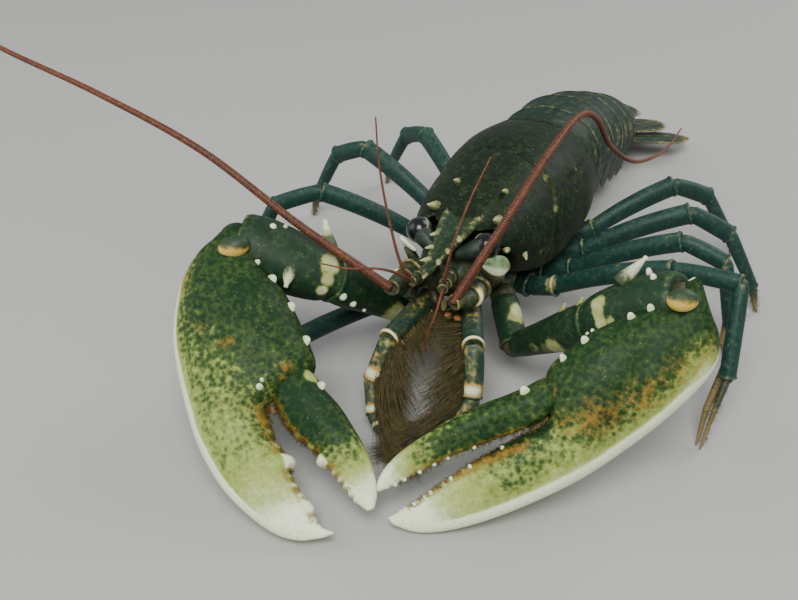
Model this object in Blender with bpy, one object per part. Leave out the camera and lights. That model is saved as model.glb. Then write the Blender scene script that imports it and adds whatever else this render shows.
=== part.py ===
"""A European lobster at life size, standing on its walking legs with both claws held in front of it.

The body lies along Y with the head towards -Y, Z is up and the floor is Z = 0. Every place is given from
the point of the floor that lies between the eyes. The last lines hang the animal on an empty that moves
the origin to the middle of its footprint. Left and right are the animal's own: left is +X."""

import math

import bmesh
import bpy
from mathutils import Matrix, Vector

MM = 0.001

# Driving sizes of the whole animal
CARAPACE_REAR = 93 * MM
EYE_HEIGHT = 57.6 * MM
EYE_SPREAD = 13 * MM
EYE_RADIUS = 4.8 * MM
CLEARANCE = 0.36 * MM
FLOOR_SINK = 0.5 * MM

# Lengths of the two claws, from the wrist to the tip of the fixed finger
CRUSHER_LENGTH = 112 * MM
CUTTER_LENGTH = 119 * MM

# Lengths of the six abdominal rings, front to rear, and the slope of each below the horizontal
RING_LENGTHS = [13 * MM, 18 * MM, 19 * MM, 19 * MM, 18 * MM, 19 * MM]
RING_SLOPES = [3, 10, 16, 19, 20, 17]
TELSON_LENGTH = 34 * MM

# Finish of each kind of shell: colour and roughness
FINISHES = {
    "shell": ((0.030, 0.060, 0.048), 0.38),
    "claw_shell": ((0.075, 0.105, 0.050), 0.36),
    "leg_shell": ((0.022, 0.070, 0.085), 0.36),
    "underside": ((0.30, 0.26, 0.14), 0.55),
    "feeler": ((0.20, 0.035, 0.018), 0.45),
    "eye": ((0.004, 0.005, 0.006), 0.10),
}


def at(x, y, z):
    """A place in the body's frame, given in millimetres."""
    return Vector((x, y, z)) * MM


def mirrored(place):
    """The same place on the other side of the body."""
    return Vector((-place.x, place.y, place.z))


def smooth(keys, where):
    """Value at where of a smooth curve through (position, value) pairs. Values are numbers or vectors."""
    last = len(keys) - 1
    k = next((i for i, key in enumerate(keys) if key[0] >= where), last)
    k = max(1, k)
    (start, value_0), (end, value_1) = keys[k - 1], keys[k]
    before = keys[max(k - 2, 0)]
    after = keys[min(k + 1, last)]
    span = end - start
    slope_0 = (value_1 - before[1]) / (end - before[0])
    slope_1 = (after[1] - value_0) / (after[0] - start)
    u = (where - start) / span
    return (
        value_0 * (2 * u**3 - 3 * u**2 + 1)
        + slope_0 * (span * (u**3 - 2 * u**2 + u))
        + value_1 * (3 * u**2 - 2 * u**3)
        + slope_1 * (span * (u**3 - u**2))
    )


def shares(count):
    """count numbers evenly spread from 0 to 1."""
    return [k / (count - 1) for k in range(count)]


def linked(name, data, finish):
    """A new object of the lobster with its own material."""
    obj = bpy.data.objects.new(name, data)
    colour, roughness = FINISHES[finish]
    skin_of = bpy.data.materials.new(name + "_" + finish)
    skin_of.use_nodes = True
    shader = skin_of.node_tree.nodes["Principled BSDF"]
    shader.inputs["Base Color"].default_value = (*colour, 1)
    shader.inputs["Roughness"].default_value = roughness
    shader.inputs["Metallic"].default_value = 0
    data.materials.append(skin_of)
    lobster.objects.link(obj)
    return obj


def section(centre, side, up, half_width, top, bottom, count, upper=2.0, lower=2.0):
    """One cross-section: half an ellipse of the height top over half of one of the depth bottom.
    upper and lower are their exponents: 2 is an ellipse, and more is squarer."""
    points = []
    for k in range(count):
        turn = 2 * math.pi * (k + 0.5) / count
        across, along = math.cos(turn), math.sin(turn)
        power = 2 / (upper if along > 0 else lower)
        height = top if along > 0 else bottom
        x = half_width * math.copysign(abs(across) ** power, across)
        y = height * math.copysign(abs(along) ** power, along)
        points.append(centre + side * x + up * y)
    return points


def loft(name, rings, finish):
    """A closed body skinned over cross-sections of equal count."""
    surface = bmesh.new()
    loops = [[surface.verts.new(point) for point in ring] for ring in rings]
    for near, far in zip(loops, loops[1:]):
        for k in range(len(near)):
            surface.faces.new((near[k - 1], near[k], far[k], far[k - 1]))
    surface.faces.new(reversed(loops[0]))
    surface.faces.new(loops[-1])
    bmesh.ops.triangulate(surface, faces=surface.faces[:])
    bmesh.ops.recalc_face_normals(surface, faces=surface.faces[:])
    mesh = bpy.data.meshes.new(name)
    surface.to_mesh(mesh)
    surface.free()
    mesh.shade_smooth()
    return linked(name, mesh, finish)


def cone(name, root, tip, root_radius, tip_radius, finish, sides=6):
    """A spine or tooth from a primitive cone, from root to tip."""
    surface = bmesh.new()
    length = (tip - root).length
    bmesh.ops.create_cone(
        surface, cap_ends=True, segments=sides, radius1=root_radius, radius2=tip_radius, depth=length
    )
    turn = (tip - root).to_track_quat("Z", "Y").to_matrix().to_4x4()
    turn.translation = (root + tip) / 2
    bmesh.ops.transform(surface, matrix=turn, verts=surface.verts[:])
    mesh = bpy.data.meshes.new(name)
    surface.to_mesh(mesh)
    surface.free()
    return linked(name, mesh, finish)


def ball(name, centre, radius, finish, segments=12, rings=8):
    """A sphere primitive."""
    surface = bmesh.new()
    bmesh.ops.create_uvsphere(surface, u_segments=segments, v_segments=rings, radius=radius)
    bmesh.ops.translate(surface, vec=centre, verts=surface.verts[:])
    mesh = bpy.data.meshes.new(name)
    surface.to_mesh(mesh)
    surface.free()
    mesh.shade_smooth()
    return linked(name, mesh, finish)


def applied(obj):
    """Turns a curve, or a mesh with modifiers, into the plain mesh that it evaluates to."""
    bpy.context.view_layer.update()
    graph = bpy.context.evaluated_depsgraph_get()
    mesh = bpy.data.meshes.new_from_object(obj.evaluated_get(graph))
    mesh.name = obj.name
    surface = bmesh.new()
    surface.from_mesh(mesh)
    bmesh.ops.dissolve_degenerate(surface, dist=2e-6, edges=surface.edges[:])
    bmesh.ops.triangulate(surface, faces=surface.faces[:])
    surface.to_mesh(mesh)
    surface.free()
    if obj.type == "MESH":
        obj.modifiers.clear()
        obj.data = mesh
        return obj
    name = obj.name
    solid = bpy.data.objects.new(name + "_solid", mesh)
    solid.matrix_world = obj.matrix_world
    lobster.objects.link(solid)
    bpy.data.objects.remove(obj)
    solid.name = name
    return solid


def keep_largest(obj):
    """Leaves only the largest closed surface of a mesh, without a hollow or a loose scrap."""
    surface = bmesh.new()
    surface.from_mesh(obj.data)
    left = set(surface.verts)
    shells = []
    while left:
        shell, front = set(), [left.pop()]
        while front:
            vert = front.pop()
            shell.add(vert)
            linked_to = [edge.other_vert(vert) for edge in vert.link_edges]
            front += [other for other in linked_to if other in left]
            left.difference_update(linked_to)
        shells.append(shell)
    shells.sort(key=len)
    loose = [vert for shell in shells[:-1] for vert in shell]
    bmesh.ops.delete(surface, geom=loose, context="VERTS")
    surface.to_mesh(obj.data)
    surface.free()


def fuse(body, pieces, solver="EXACT"):
    """Joins pieces to body with one Boolean union and removes them."""
    if not pieces:
        return body
    group = bpy.data.collections.new(body.name + "_pieces")
    bpy.context.scene.collection.children.link(group)
    for piece in pieces:
        group.objects.link(piece)
        lobster.objects.unlink(piece)
    union = body.modifiers.new("union", "BOOLEAN")
    union.operation = "UNION"
    union.operand_type = "COLLECTION"
    union.collection = group
    union.solver = solver
    applied(body)
    for piece in list(group.objects):
        bpy.data.objects.remove(piece)
    bpy.data.collections.remove(group)
    keep_largest(body)
    return body


def grown(obj):
    """A cutter: a copy of a body grown by the clearance."""
    copy = bpy.data.objects.new(obj.name + "_clearance", obj.data.copy())
    surface = bmesh.new()
    surface.from_mesh(copy.data)
    surface.normal_update()
    moves = [(vert, vert.normal * CLEARANCE) for vert in surface.verts]
    for vert, move in moves:
        vert.co += move
    surface.to_mesh(copy.data)
    surface.free()
    copy.hide_render = True
    copy.display_type = "WIRE"
    cutters.objects.link(copy)
    return copy


def cut_clear(body, *neighbours):
    """Cuts body back by each neighbour, so that it meets them face to face with the clearance."""
    for neighbour in neighbours:
        cutter = grown(neighbour)
        difference = body.modifiers.new("clearance", "BOOLEAN")
        difference.operation = "DIFFERENCE"
        difference.object = cutter
        difference.solver = "EXACT"
        applied(body)
        bpy.data.objects.remove(cutter)
        keep_largest(body)
    return body


def set_down(obj):
    """Cuts off what lies below the floor, which leaves a small flat to stand on."""
    surface = bmesh.new()
    surface.from_mesh(obj.data)
    everything = surface.verts[:] + surface.edges[:] + surface.faces[:]
    cut = bmesh.ops.bisect_plane(
        surface, geom=everything, plane_co=(0, 0, 0), plane_no=(0, 0, -1), clear_outer=True
    )
    rim = [part for part in cut["geom_cut"] if isinstance(part, bmesh.types.BMEdge)]
    if rim:
        bmesh.ops.holes_fill(surface, edges=rim)
    bmesh.ops.triangulate(surface, faces=surface.faces[:])
    surface.to_mesh(obj.data)
    surface.free()
    return obj


def limb(joints, girths, flatness=1.0, count=8, upright=Vector((0, 0, 1))):
    """Rings along a jointed limb. Each stretch between two joints starts and ends with its own half
    width, is a little fuller in its middle, and stands back from the bends between the stretches."""
    rings = []
    last = len(girths) - 1
    for k, (start, end, (girth_0, girth_1)) in enumerate(zip(joints, joints[1:], girths)):
        length = (end - start).length
        along = (end - start) / length
        side = along.cross(upright).normalized()
        up = side.cross(along)
        inset_0 = min(0.25, 1.1 * girth_0 / length) if k > 0 else -0.5 * girth_0 / length
        inset_1 = min(0.25, 1.1 * girth_1 / length) if k < last else 0
        stations = [
            (inset_0, girth_0),
            (0.5, 1.06 * (girth_0 + girth_1) / 2),
            (1 - inset_1, girth_1),
        ]
        for share, girth in stations:
            centre = start.lerp(end, share)
            rings.append(section(centre, side, up, girth * flatness, girth, girth, count))
    return rings


def feeler(name, path, root_radius, tip_radius, points, finish):
    """A whip: a curve with a round bevel along a smooth path, tapering evenly to its tip."""
    curve = bpy.data.curves.new(name, "CURVE")
    curve.dimensions = "3D"
    curve.bevel_depth = 1.0
    curve.bevel_resolution = 1
    curve.use_fill_caps = True
    spline = curve.splines.new("POLY")
    spline.points.add(points - 1)
    keys = list(zip(shares(len(path)), path))
    for point, share in zip(spline.points, shares(points)):
        point.co = (*smooth(keys, share), 1)
        point.radius = root_radius + (tip_radius - root_radius) * share**0.8
    return linked(name, curve, finish)


def both(make):
    """Calls make once for each side: with its name and with a function that mirrors places for it."""
    return {"left": make("left", lambda place: place.copy()), "right": make("right", mirrored)}


def make_carapace():
    """The shield over head and thorax, with its rostrum, its groove and its spines."""
    # Along the body: (y, half width, height of the back, height of the lower edge)
    width = [(4, 15.5), (10, 19), (20, 23.2), (35, 26.6), (52, 28.6), (72, 28.8), (86, 27), (93, 24)]
    back = [(4, 60.5), (10, 62.8), (20, 65.2), (35, 67.6), (52, 69.2), (72, 68.4), (86, 66), (93, 64)]
    edge = [(4, 50.5), (10, 44.5), (20, 35), (35, 28), (52, 25.5), (72, 25), (86, 27), (93, 31)]
    groove_depth, groove_width = 1.5, 3.0
    rings = []
    for y in [4, 8, 13, 18, 23, 28, 33, 38, 42, 46, 49, 52, 55, 60, 67, 75, 83, 90, 93]:
        top, low = smooth(back, y), smooth(edge, y)
        middle = low + 0.42 * (top - low)
        ring = section(
            at(0, y, middle), Vector((1, 0, 0)), Vector((0, 0, 1)),
            smooth(width, y) * MM, (top - middle) * MM, (middle - low) * MM, 22, 2.15, 3.4,
        )
        for point in ring:
            # The cervical groove runs from the back down and forward towards the mouth
            down = (top * MM - point.z) / ((top - low) * MM)
            off = y - (52 - 26 * down)
            dip = groove_depth * math.exp(-((off / groove_width) ** 2)) * MM
            inward = (Vector((0, point.y, middle * MM)) - point).normalized()
            point += inward * (dip if down < 0.85 else 0)
        rings.append(ring)
    carapace = loft("carapace", rings, "shell")

    beak = [(-25.5, 0.6, 0.7), (-20, 2.2, 1.8), (-13, 3.8, 2.6), (-6, 5.2, 3.2), (2, 7.0, 3.6), (12, 8.0, 4.0)]
    beak_line = [(-25.5, 55.0), (-13, 57.4), (0, 59.6), (12, 60.0)]
    rostrum = loft(
        "rostrum",
        [
            section(
                at(0, y, smooth(beak_line, y)), Vector((1, 0, 0)), Vector((0, 0, 1)),
                half * MM, deep * MM, deep * MM, 8,
            )
            for y, half, deep in beak
        ],
        "shell",
    )
    pieces = [rostrum]
    # Teeth along both edges of the rostrum, the spine behind each eye and the one beside each antenna
    teeth = [(-18, 2.4), (-12, 3.6), (-5.5, 5.0)]
    for side in (-1, 1):
        for y, half in teeth:
            root = at(side * half * 0.75, y + 1.5, smooth(beak_line, y) + 0.8)
            tip = root + at(side * 1.9, -3.6, 1.5)
            pieces.append(cone("tooth", root, tip, 1.15 * MM, 0.25 * MM, "shell"))
        pieces.append(cone("spine", at(side * 12.5, 13, 60), at(side * 12.8, 6.6, 64.6), 2 * MM, 0.3 * MM, "shell"))
        pieces.append(cone("spine", at(side * 15.5, 9, 52), at(side * 18.5, -0.5, 52.5), 2.4 * MM, 0.3 * MM, "shell"))
    return fuse(carapace, pieces)


def make_head():
    """The solid front of the head below the rostrum: it carries the eyes, feelers and mouthparts."""
    stations = [(-9, 7.0, 51, 40), (-5, 10.5, 52.3, 36), (1, 13.5, 53.0, 33), (8, 15.5, 52, 31), (16, 15.5, 45, 29)]
    rings = []
    for y, half, top, low in stations:
        middle = (top + low) / 2
        rings.append(
            section(
                at(0, y, middle), Vector((1, 0, 0)), Vector((0, 0, 1)),
                half * MM, (top - middle) * MM, (middle - low) * MM, 16, 2.6, 2.6,
            )
        )
    return loft("head", rings, "underside")


def make_thorax():
    """The breastplate between the legs, with the sockets in which they turn."""
    stations = [(16.4, 11, 33, 24), (24, 13, 31, 20), (40, 14, 28, 18), (60, 15, 27, 18), (78, 15, 28, 19.5), (90, 11, 31, 25)]
    rings = []
    for y, half, top, low in stations:
        middle = (top + low) / 2
        rings.append(
            section(
                at(0, y, middle), Vector((1, 0, 0)), Vector((0, 0, 1)),
                half * MM, (top - middle) * MM, (middle - low) * MM, 16, 3.2, 3.2,
            )
        )
    return loft("thorax", rings, "underside")


def make_abdomen():
    """Six overlapping rings with their side plates and the swimmerets under rings one to five."""
    rings_made = []
    # Half width, height over the middle line and depth under it, at the front and at the rear of each ring
    front = [(20.5, 18.0, 13.0), (21.5, 18.5, 13.5), (21.3, 18.0, 13.0), (20.3, 17.2, 12.5), (19, 16.2, 12), (17.3, 15.0, 11)]
    rear = [(22.2, 19.4, 13.5), (22.8, 19.8, 13.8), (22.2, 19.2, 13.4), (21, 18.2, 13), (19.5, 17, 12.4), (15.8, 13.2, 9.5)]
    place = at(0, 93.4, 44.5)
    side = Vector((1, 0, 0))
    for k, (length, slope) in enumerate(zip(RING_LENGTHS, RING_SLOPES)):
        tilt = math.radians(slope)
        along = Vector((0, math.cos(tilt), -math.sin(tilt)))
        up = Vector((0, math.sin(tilt), math.cos(tilt)))
        start_sizes, end_sizes = Vector(front[k]) * MM, Vector(rear[k]) * MM
        rings = []
        for share, swell in ((0, 0.965), (0.3, 1.0), (0.42, 0.985), (1, 1.03)):
            half, top, low = start_sizes.lerp(end_sizes, share) * swell
            centre = place + along * (length - CLEARANCE) * share
            rings.append(section(centre, side, up, half, top, low * 0.82, 16, 2.1, 2.8))
        name = f"abdomen_{k + 1}"
        ring = loft(name, rings, "shell")
        pieces = []
        half, _, low = start_sizes.lerp(end_sizes, 0.5)
        for hand in (-1, 1):
            outward = side * hand
            if k > 0:
                pieces.append(side_plate(place, along, up, outward, length, half, low, k))
            if k < 5:
                pieces += swimmeret(place, along, up, outward, length, half, low, k)
        fuse(ring, pieces)
        if rings_made:
            cut_clear(ring, rings_made[-1])
        rings_made.append(ring)
        place = place + along * length
    return rings_made, place


def side_plate(place, along, up, outward, length, half, low, k):
    """The pointed plate that hangs from each side of a ring, its tip swept back."""
    root = place + along * length * 0.47 + outward * (half - 1.9 * MM) - up * 3 * MM
    reach = low + (7.5 if k < 5 else 4.5) * MM
    rings = []
    for share, fore, aft, thick in (
        (0, 0.36, 0.40, 1.5), (0.45, 0.36, 0.42, 1.6), (0.75, 0.24, 0.42, 1.3), (1, -0.30, 0.40, 0.6)
    ):
        centre = root - up * (reach - 3 * MM) * share - outward * 2.2 * MM * share**2
        middle = centre + along * length * (aft - fore) / 2
        rings.append(
            section(middle, along, outward, length * (aft + fore) / 2, thick * MM, thick * MM, 6)
        )
    return loft("plate", rings, "shell")


def swimmeret(place, along, up, outward, length, half, low, k):
    """A stalk with two thin oval blades under one side of a ring, swept back."""
    size = (0.62 if k == 0 else 1.0) * MM
    root = place + along * length * 0.45 + outward * half * 0.52 - up * (low * 0.82 - 2.5 * MM)
    blades = []
    for spread, reach in ((0.40, 14.5), (-0.30, 13.5)):
        aim = (-up * 0.72 + along * 0.78 + outward * spread).normalized()
        flat = aim.cross(outward).normalized()
        across = flat.cross(aim)
        rings = []
        for share, wide in ((0, 1.6), (0.3, 1.9), (0.65, 3.3), (1, 1.1)):
            centre = root + aim * reach * size * share
            rings.append(section(centre, across, flat, wide * size, 0.55 * MM, 0.55 * MM, 5))
        blades.append(loft("blade", rings, "shell"))
    return blades


def fan_blade(name, root, aim, up, length, widths, thick):
    """One flat blade of the tail fan: rounded at its end, with a low ridge along its middle."""
    side = aim.cross(up).normalized()
    rings = []
    for share, wide in widths:
        centre = root + aim * length * share
        top = (thick * (1.15 - 0.75 * share)) * MM
        rings.append(section(centre, side, up, wide * MM, top, top * 0.8, 10, 1.7, 2.0))
    return loft(name, rings, "shell")


def make_tail_fan(root, last_ring):
    """The telson on top, an inner blade under it on each side and an outer blade under that."""
    tilt = math.radians(11)
    aim = Vector((0, math.cos(tilt), -math.sin(tilt)))
    up = Vector((0, math.sin(tilt), math.cos(tilt)))
    side = Vector((1, 0, 0))
    telson_widths = [(0, 9.5), (0.12, 11.2), (0.4, 11.6), (0.7, 10.6), (0.88, 9.0), (0.96, 6.6), (1, 3.6)]
    blade_widths = [(0, 3.0), (0.14, 5.4), (0.4, 8.4), (0.68, 9.6), (0.86, 8.2), (0.96, 5.4), (1, 2.4)]
    telson = fan_blade("telson", root + up * 3.0 * MM + aim * CLEARANCE, aim, up, TELSON_LENGTH, telson_widths, 2.7)
    made = [telson]
    for hand, label in ((1, "left"), (-1, "right")):
        for spread, drop, out, part in ((19, 2.2, 7.0, "inner"), (45, 5.6, 9.2, "outer")):
            turn = math.radians(spread)
            way = (aim * math.cos(turn) + side * hand * math.sin(turn)).normalized()
            start = root + side * hand * out * MM - up * drop * MM + aim * (CLEARANCE + 0.3 * MM)
            blade = fan_blade(
                f"uropod_{part}_{label}", start, way, up, (36 if part == "inner" else 37) * MM, blade_widths, 1.7
            )
            made.append(blade)
    for k, blade in enumerate(made):
        # Each blade lies under the telson and under the inner blade of its side
        above = made[:1] if k in (1, 3) else made[:1] + made[k - 1:k]
        cut_clear(blade, last_ring, *(above if k else []))
    return made


def tube(name, path, girths, finish, count=8, flatness=1.0, upright=Vector((0, 0, 1))):
    """A solid along a path, with its own half width at each point. flatness is width over height."""
    rings = []
    for k, (point, girth) in enumerate(zip(path, girths)):
        before, after = path[max(k - 1, 0)], path[min(k + 1, len(path) - 1)]
        along = (after - before).normalized()
        side = along.cross(upright).normalized()
        up = side.cross(along)
        rings.append(section(point, side, up, girth * flatness * MM, girth * MM, girth * MM, count))
    return loft(name, rings, finish)


def make_eye(side, hand):
    """An eye on its short stalk."""
    centre = at(hand * EYE_SPREAD / MM, 0, EYE_HEIGHT / MM)
    eye = ball(f"eye_{side}", centre, EYE_RADIUS, "eye")
    stalk = tube(
        "stalk", [at(hand * 4.2, -4.5, 54.6), at(hand * 8, -3.2, 56), centre], [2.6, 3.0, 3.6], "eye"
    )
    return fuse(eye, [stalk])


def make_antennule(side, hand, paths):
    """The inner feeler: three short joints with two thin whips."""
    joints = [at(hand * 3.6, -8, 48.6), at(hand * 4.4, -13, 49.4), at(hand * 5.2, -18, 50), at(hand * 5.8, -22, 50.4)]
    stem = tube(f"antennule_{side}", joints, [2.5, 2.4, 2.1, 1.7], "feeler")
    whips = [
        applied(feeler("whip", [at(*place) for place in path], 0.62 * MM, 0.27 * MM, 8, "feeler"))
        for path in paths
    ]
    return fuse(stem, whips)


def make_antenna_base(side, hand, start):
    """The stout joints that carry the long feeler."""
    path = [at(hand * 11, -2.5, 43.5), at(hand * 12.6, -8, 44), at(hand * 12.8, -14, 44.6), start]
    return tube(f"antenna_base_{side}", path, [4.6, 4.8, 3.9, 2.6], "leg_shell", 8)


def make_scale(side, hand):
    """The flat pointed scale that stands upright outside the base of the long feeler, on a short root."""
    path = [at(hand * 20.4, 3.6, 48.8), at(hand * 19, 0.8, 50.4), at(hand * 16.6, -2.4, 52.2), at(hand * 13.4, -5.3, 53.2)]
    facing = Vector((hand * 0.78, -0.52, 0.34))
    blade = tube(f"antenna_scale_{side}", path, [0.6, 1.1, 1.05, 0.35], "leg_shell", 8, 3.3, facing)
    root = tube("root", [at(hand * 14.2, -2, 46.4), at(hand * 19.8, 2.6, 49.5)], [1.3, 1.0], "leg_shell", 4)
    return fuse(blade, [root])


def make_antenna(side, path, root_radius, cuts):
    """The long feeler in lengths that meet end to end."""
    keys = list(zip(shares(len(path)), [at(*place) for place in path]))
    made = []
    for k, (first, last) in enumerate(zip(cuts, cuts[1:])):
        gap = 0.0006 if k else 0.0
        stations = [first + gap + (last - first - gap) * share for share in shares(8)]
        centres = [smooth(keys, share) for share in stations]
        girths = [root_radius + (0.32 - root_radius) * share**0.9 for share in stations]
        made.append(tube(f"antenna_{side}_{k + 1}", centres, girths, "feeler", 6))
    return made


def make_maxilliped(side, joints):
    """The outermost mouth limb: a stout joint with a toothed inner edge and four slimmer ones."""
    places = [at(*joint) for joint in joints]
    girths = [(4.6, 4.2), (3.9, 3.4), (3.0, 2.6), (2.3, 1.2)]
    sizes = [(a * MM, b * MM) for a, b in girths]
    return loft(f"maxilliped_{side}", limb(places, sizes, 0.85, 8, Vector((1, 0, 0))), "leg_shell")


# Places of the feelers in millimetres
ANTENNULES = {
    "right": [[(-5.6, -20, 50.2), (-9, -24, 58), (-15, -22, 76), (-19, -20, 93), (-21, -18, 108)],
              [(-5.6, -21, 50.2), (-13, -29, 53), (-21, -34, 56), (-28, -36, 58), (-33, -37, 59.5)]],
    "left": [[(5.6, -20, 50.2), (7, -22, 58), (9, -20, 70), (12, -14, 84), (16, -8, 97)],
             [(5.6, -21, 50.2), (7, -27, 49), (7, -31, 45), (6, -34, 40), (5.6, -36, 33)]],
}
ANTENNA_RIGHT = [(-12, -25.5, 48), (-45, -30, 67.5), (-83, -30, 88), (-124, -30, 101), (-166, -30, 111),
                 (-200, -21, 115), (-230, -2, 112), (-250, 28, 101), (-262, 60, 85)]
ANTENNA_LEFT = [(9.3, -20.6, 45), (20, -9, 69), (25, 20, 84), (28, 47, 90), (31, 62, 84), (34, 76, 67),
                (39, 96, 52), (42, 124, 42), (42, 155, 34), (40, 186, 28)]
MAXILLIPEDS = {
    "right": [(-7, 2, 31), (-12, -28, 27), (-15, -36, 14), (-10, -45, 6), (-2, -53, 4)],
    "left": [(7, 2, 31), (20, -27, 33), (24, -36, 19), (20, -44, 8), (13, -48, 4)],
}


def make_face():
    """Eyes, feelers and mouth limbs, each cut clear of what it stands against."""
    made = {}
    for side, hand in (("left", 1), ("right", -1)):
        made[side] = {
            "eye": make_eye(side, hand),
            "antennule": make_antennule(side, hand, ANTENNULES[side]),
            "base": make_antenna_base(side, hand, at(*(ANTENNA_LEFT if hand > 0 else ANTENNA_RIGHT)[0])),
            "scale": make_scale(side, hand),
            "maxilliped": make_maxilliped(side, MAXILLIPEDS[side]),
        }
    made["left"]["antenna"] = make_antenna("left", ANTENNA_LEFT, 1.8, [0, 0.3, 0.62, 1])
    made["right"]["antenna"] = make_antenna("right", ANTENNA_RIGHT, 1.7, [0, 0.32, 0.64, 1])
    return made


def make_leg(number, side, joints, girths, pincer):
    """A walking leg in two parts that meet at the knee: coxa, ischium and merus, then carpus, propodus
    and dactyl, which stands on the floor at its tip."""
    joints = [at(*joint) for joint in joints]
    joints[-1].z = -FLOOR_SINK
    sizes = [(a * MM, b * MM) for a, b in girths]
    upper = loft(f"leg_{number}_upper_{side}", limb(joints[:4], sizes[:3], 0.82), "leg_shell")
    lower = loft(f"leg_{number}_lower_{side}", limb(joints[3:], sizes[3:], 0.82), "leg_shell")
    if pincer:
        # The movable finger of the small pincer lies beside the fixed one
        heel, toe = joints[-2], joints[-1]
        beside = (toe - heel).cross(Vector((0, 0, 1))).normalized() * (1 if side == "left" else -1)
        bends = (
            (heel.lerp(joints[-3], 0.2), 1.5),
            (heel.lerp(toe, 0.05) + beside * 1.7 * MM, 1.5),
            (heel.lerp(toe, 0.5) + beside * 2.9 * MM, 1.2),
            (heel.lerp(toe, 0.97) + beside * 1.9 * MM, 0.5),
        )
        rings = [section(p, beside, Vector((0, 0, 1)), r * MM, r * MM, r * MM, 6) for p, r in bends]
        fuse(lower, [loft("finger", rings, "leg_shell")])
    cut_clear(lower, upper)
    return upper, set_down(lower)


LEG_GIRTHS = [(4.6, 4.2), (3.7, 3.6), (3.0, 3.7), (2.9, 3.2), (2.7, 2.1), (1.9, 0.8)]
PINCER_GIRTHS = [(4.4, 4.0), (3.5, 3.4), (2.9, 3.4), (2.8, 3.0), (2.6, 2.9), (1.5, 0.6)]
# Places of the joints of each leg in millimetres, from the socket to the floor
LEGS = {
    (1, "left"): [(11, 37, 22), (19, 35, 22), (30, 33, 26), (74, 28, 48), (98, 26, 50), (101, 9, 22), (98, -6, 0)],
    (2, "left"): [(12, 49, 22), (20, 49, 22), (31, 49, 25), (71, 54, 45), (88, 54, 40), (94, 53, 14), (95, 52, 0)],
    (3, "left"): [(12, 61, 22), (20, 62, 22), (31, 65, 25), (68, 80, 43), (84, 84, 35), (96, 87, 12), (99, 88, 0)],
    (4, "left"): [(12, 73, 22), (20, 76, 22), (29, 82, 25), (55, 105, 40), (68, 117, 32), (78, 126, 11), (81, 129, 0)],
    (1, "right"): [(-11, 36, 21), (-18, 30, 18), (-24, 20, 15), (-50, -30, 17), (-59, -43, 18), (-66, -54, 8), (-67, -58, 0)],
    (2, "right"): [(-12, 49, 22), (-20, 48, 22), (-31, 45, 25), (-70, 30, 45), (-88, 23, 38), (-98, 17, 13), (-100, 15, 0)],
    (3, "right"): [(-12, 61, 22), (-20, 62, 22), (-31, 64, 25), (-72, 74, 44), (-88, 77, 36), (-100, 79, 12), (-103, 80, 0)],
    (4, "right"): [(-12, 73, 22), (-20, 76, 22), (-29, 82, 25), (-57, 103, 41), (-71, 113, 33), (-83, 121, 11), (-86, 123, 0)],
}


class Claw:
    """One great claw in its own frame: distances along its axis and across towards its inner margin,
    both as shares of its length, and heights over its flat faces in metres."""

    def __init__(self, side, wrist, tip, facing, outer, inner, biting, thick):
        self.side = side
        self.wrist = wrist
        self.length = (tip - wrist).length
        self.axis = (tip - wrist).normalized()
        self.face = (facing - self.axis * facing.dot(self.axis)).normalized()
        hand = -1 if side == "right" else 1
        self.inward = self.axis.cross(self.face) * hand
        self.outer, self.inner, self.biting, self.thick = outer, inner, biting, thick

    def place(self, along, across, over=0.0):
        """A place of the claw, in the body's frame."""
        span = self.axis * along + self.inward * across
        return self.wrist + span * self.length + self.face * over

    def ring(self, along, low, high, thick, count, squareness=2.3):
        """A cross-section between two distances across the claw."""
        centre = self.place(along, (low + high) / 2)
        half = (high - low) / 2 * self.length
        return section(centre, self.inward, self.face, half, thick, thick, count, squareness, squareness)


# Margins of the crusher and of the cutter as (share along, share across) of the claw's length
CRUSHER = {
    "outer": [(-0.03, 0.02), (0, 0.068), (0.02, 0.116), (0.07, 0.172), (0.12, 0.208), (0.237, 0.259), (0.35, 0.281),
              (0.525, 0.292), (0.63, 0.288), (0.757, 0.260), (0.864, 0.210), (0.946, 0.150), (0.985, 0.092), (1.0, 0.035)],
    "inner": [(-0.03, 0.06), (0, 0.062), (0.07, 0.060), (0.147, 0.070), (0.232, 0.104), (0.353, 0.119), (0.444, 0.123), (0.50, 0.116),
              (0.525, 0.082), (0.55, 0.002), (0.575, -0.058), (0.607, -0.068), (0.662, -0.074), (0.708, -0.066), (0.757, -0.052),
              (0.79, -0.062), (0.84, -0.054), (0.907, -0.040), (0.965, -0.030), (1.0, 0.006)],
    "thick": [(-0.03, 0.06), (0, 0.08), (0.1, 0.105), (0.3, 0.125), (0.5, 0.112), (0.62, 0.085), (0.8, 0.062), (0.93, 0.036), (1.0, 0.008)],
    "finger_back": [(0.46, 0.060), (0.50, 0.092), (0.54, 0.108), (0.583, 0.118), (0.654, 0.144), (0.744, 0.162), (0.809, 0.171),
                    (0.883, 0.168), (0.943, 0.154), (0.975, 0.134)],
    "finger_bite": [(0.46, -0.005), (0.50, -0.034), (0.54, -0.038), (0.576, -0.034), (0.62, -0.029), (0.659, -0.020), (0.712, 0.004),
                    (0.745, 0.026), (0.795, 0.045), (0.845, 0.062), (0.891, 0.078), (0.94, 0.092), (0.975, 0.112)],
    "finger_thick": [(0.46, 0.05), (0.52, 0.072), (0.65, 0.072), (0.8, 0.055), (0.9, 0.036), (0.975, 0.010)],
}
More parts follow.
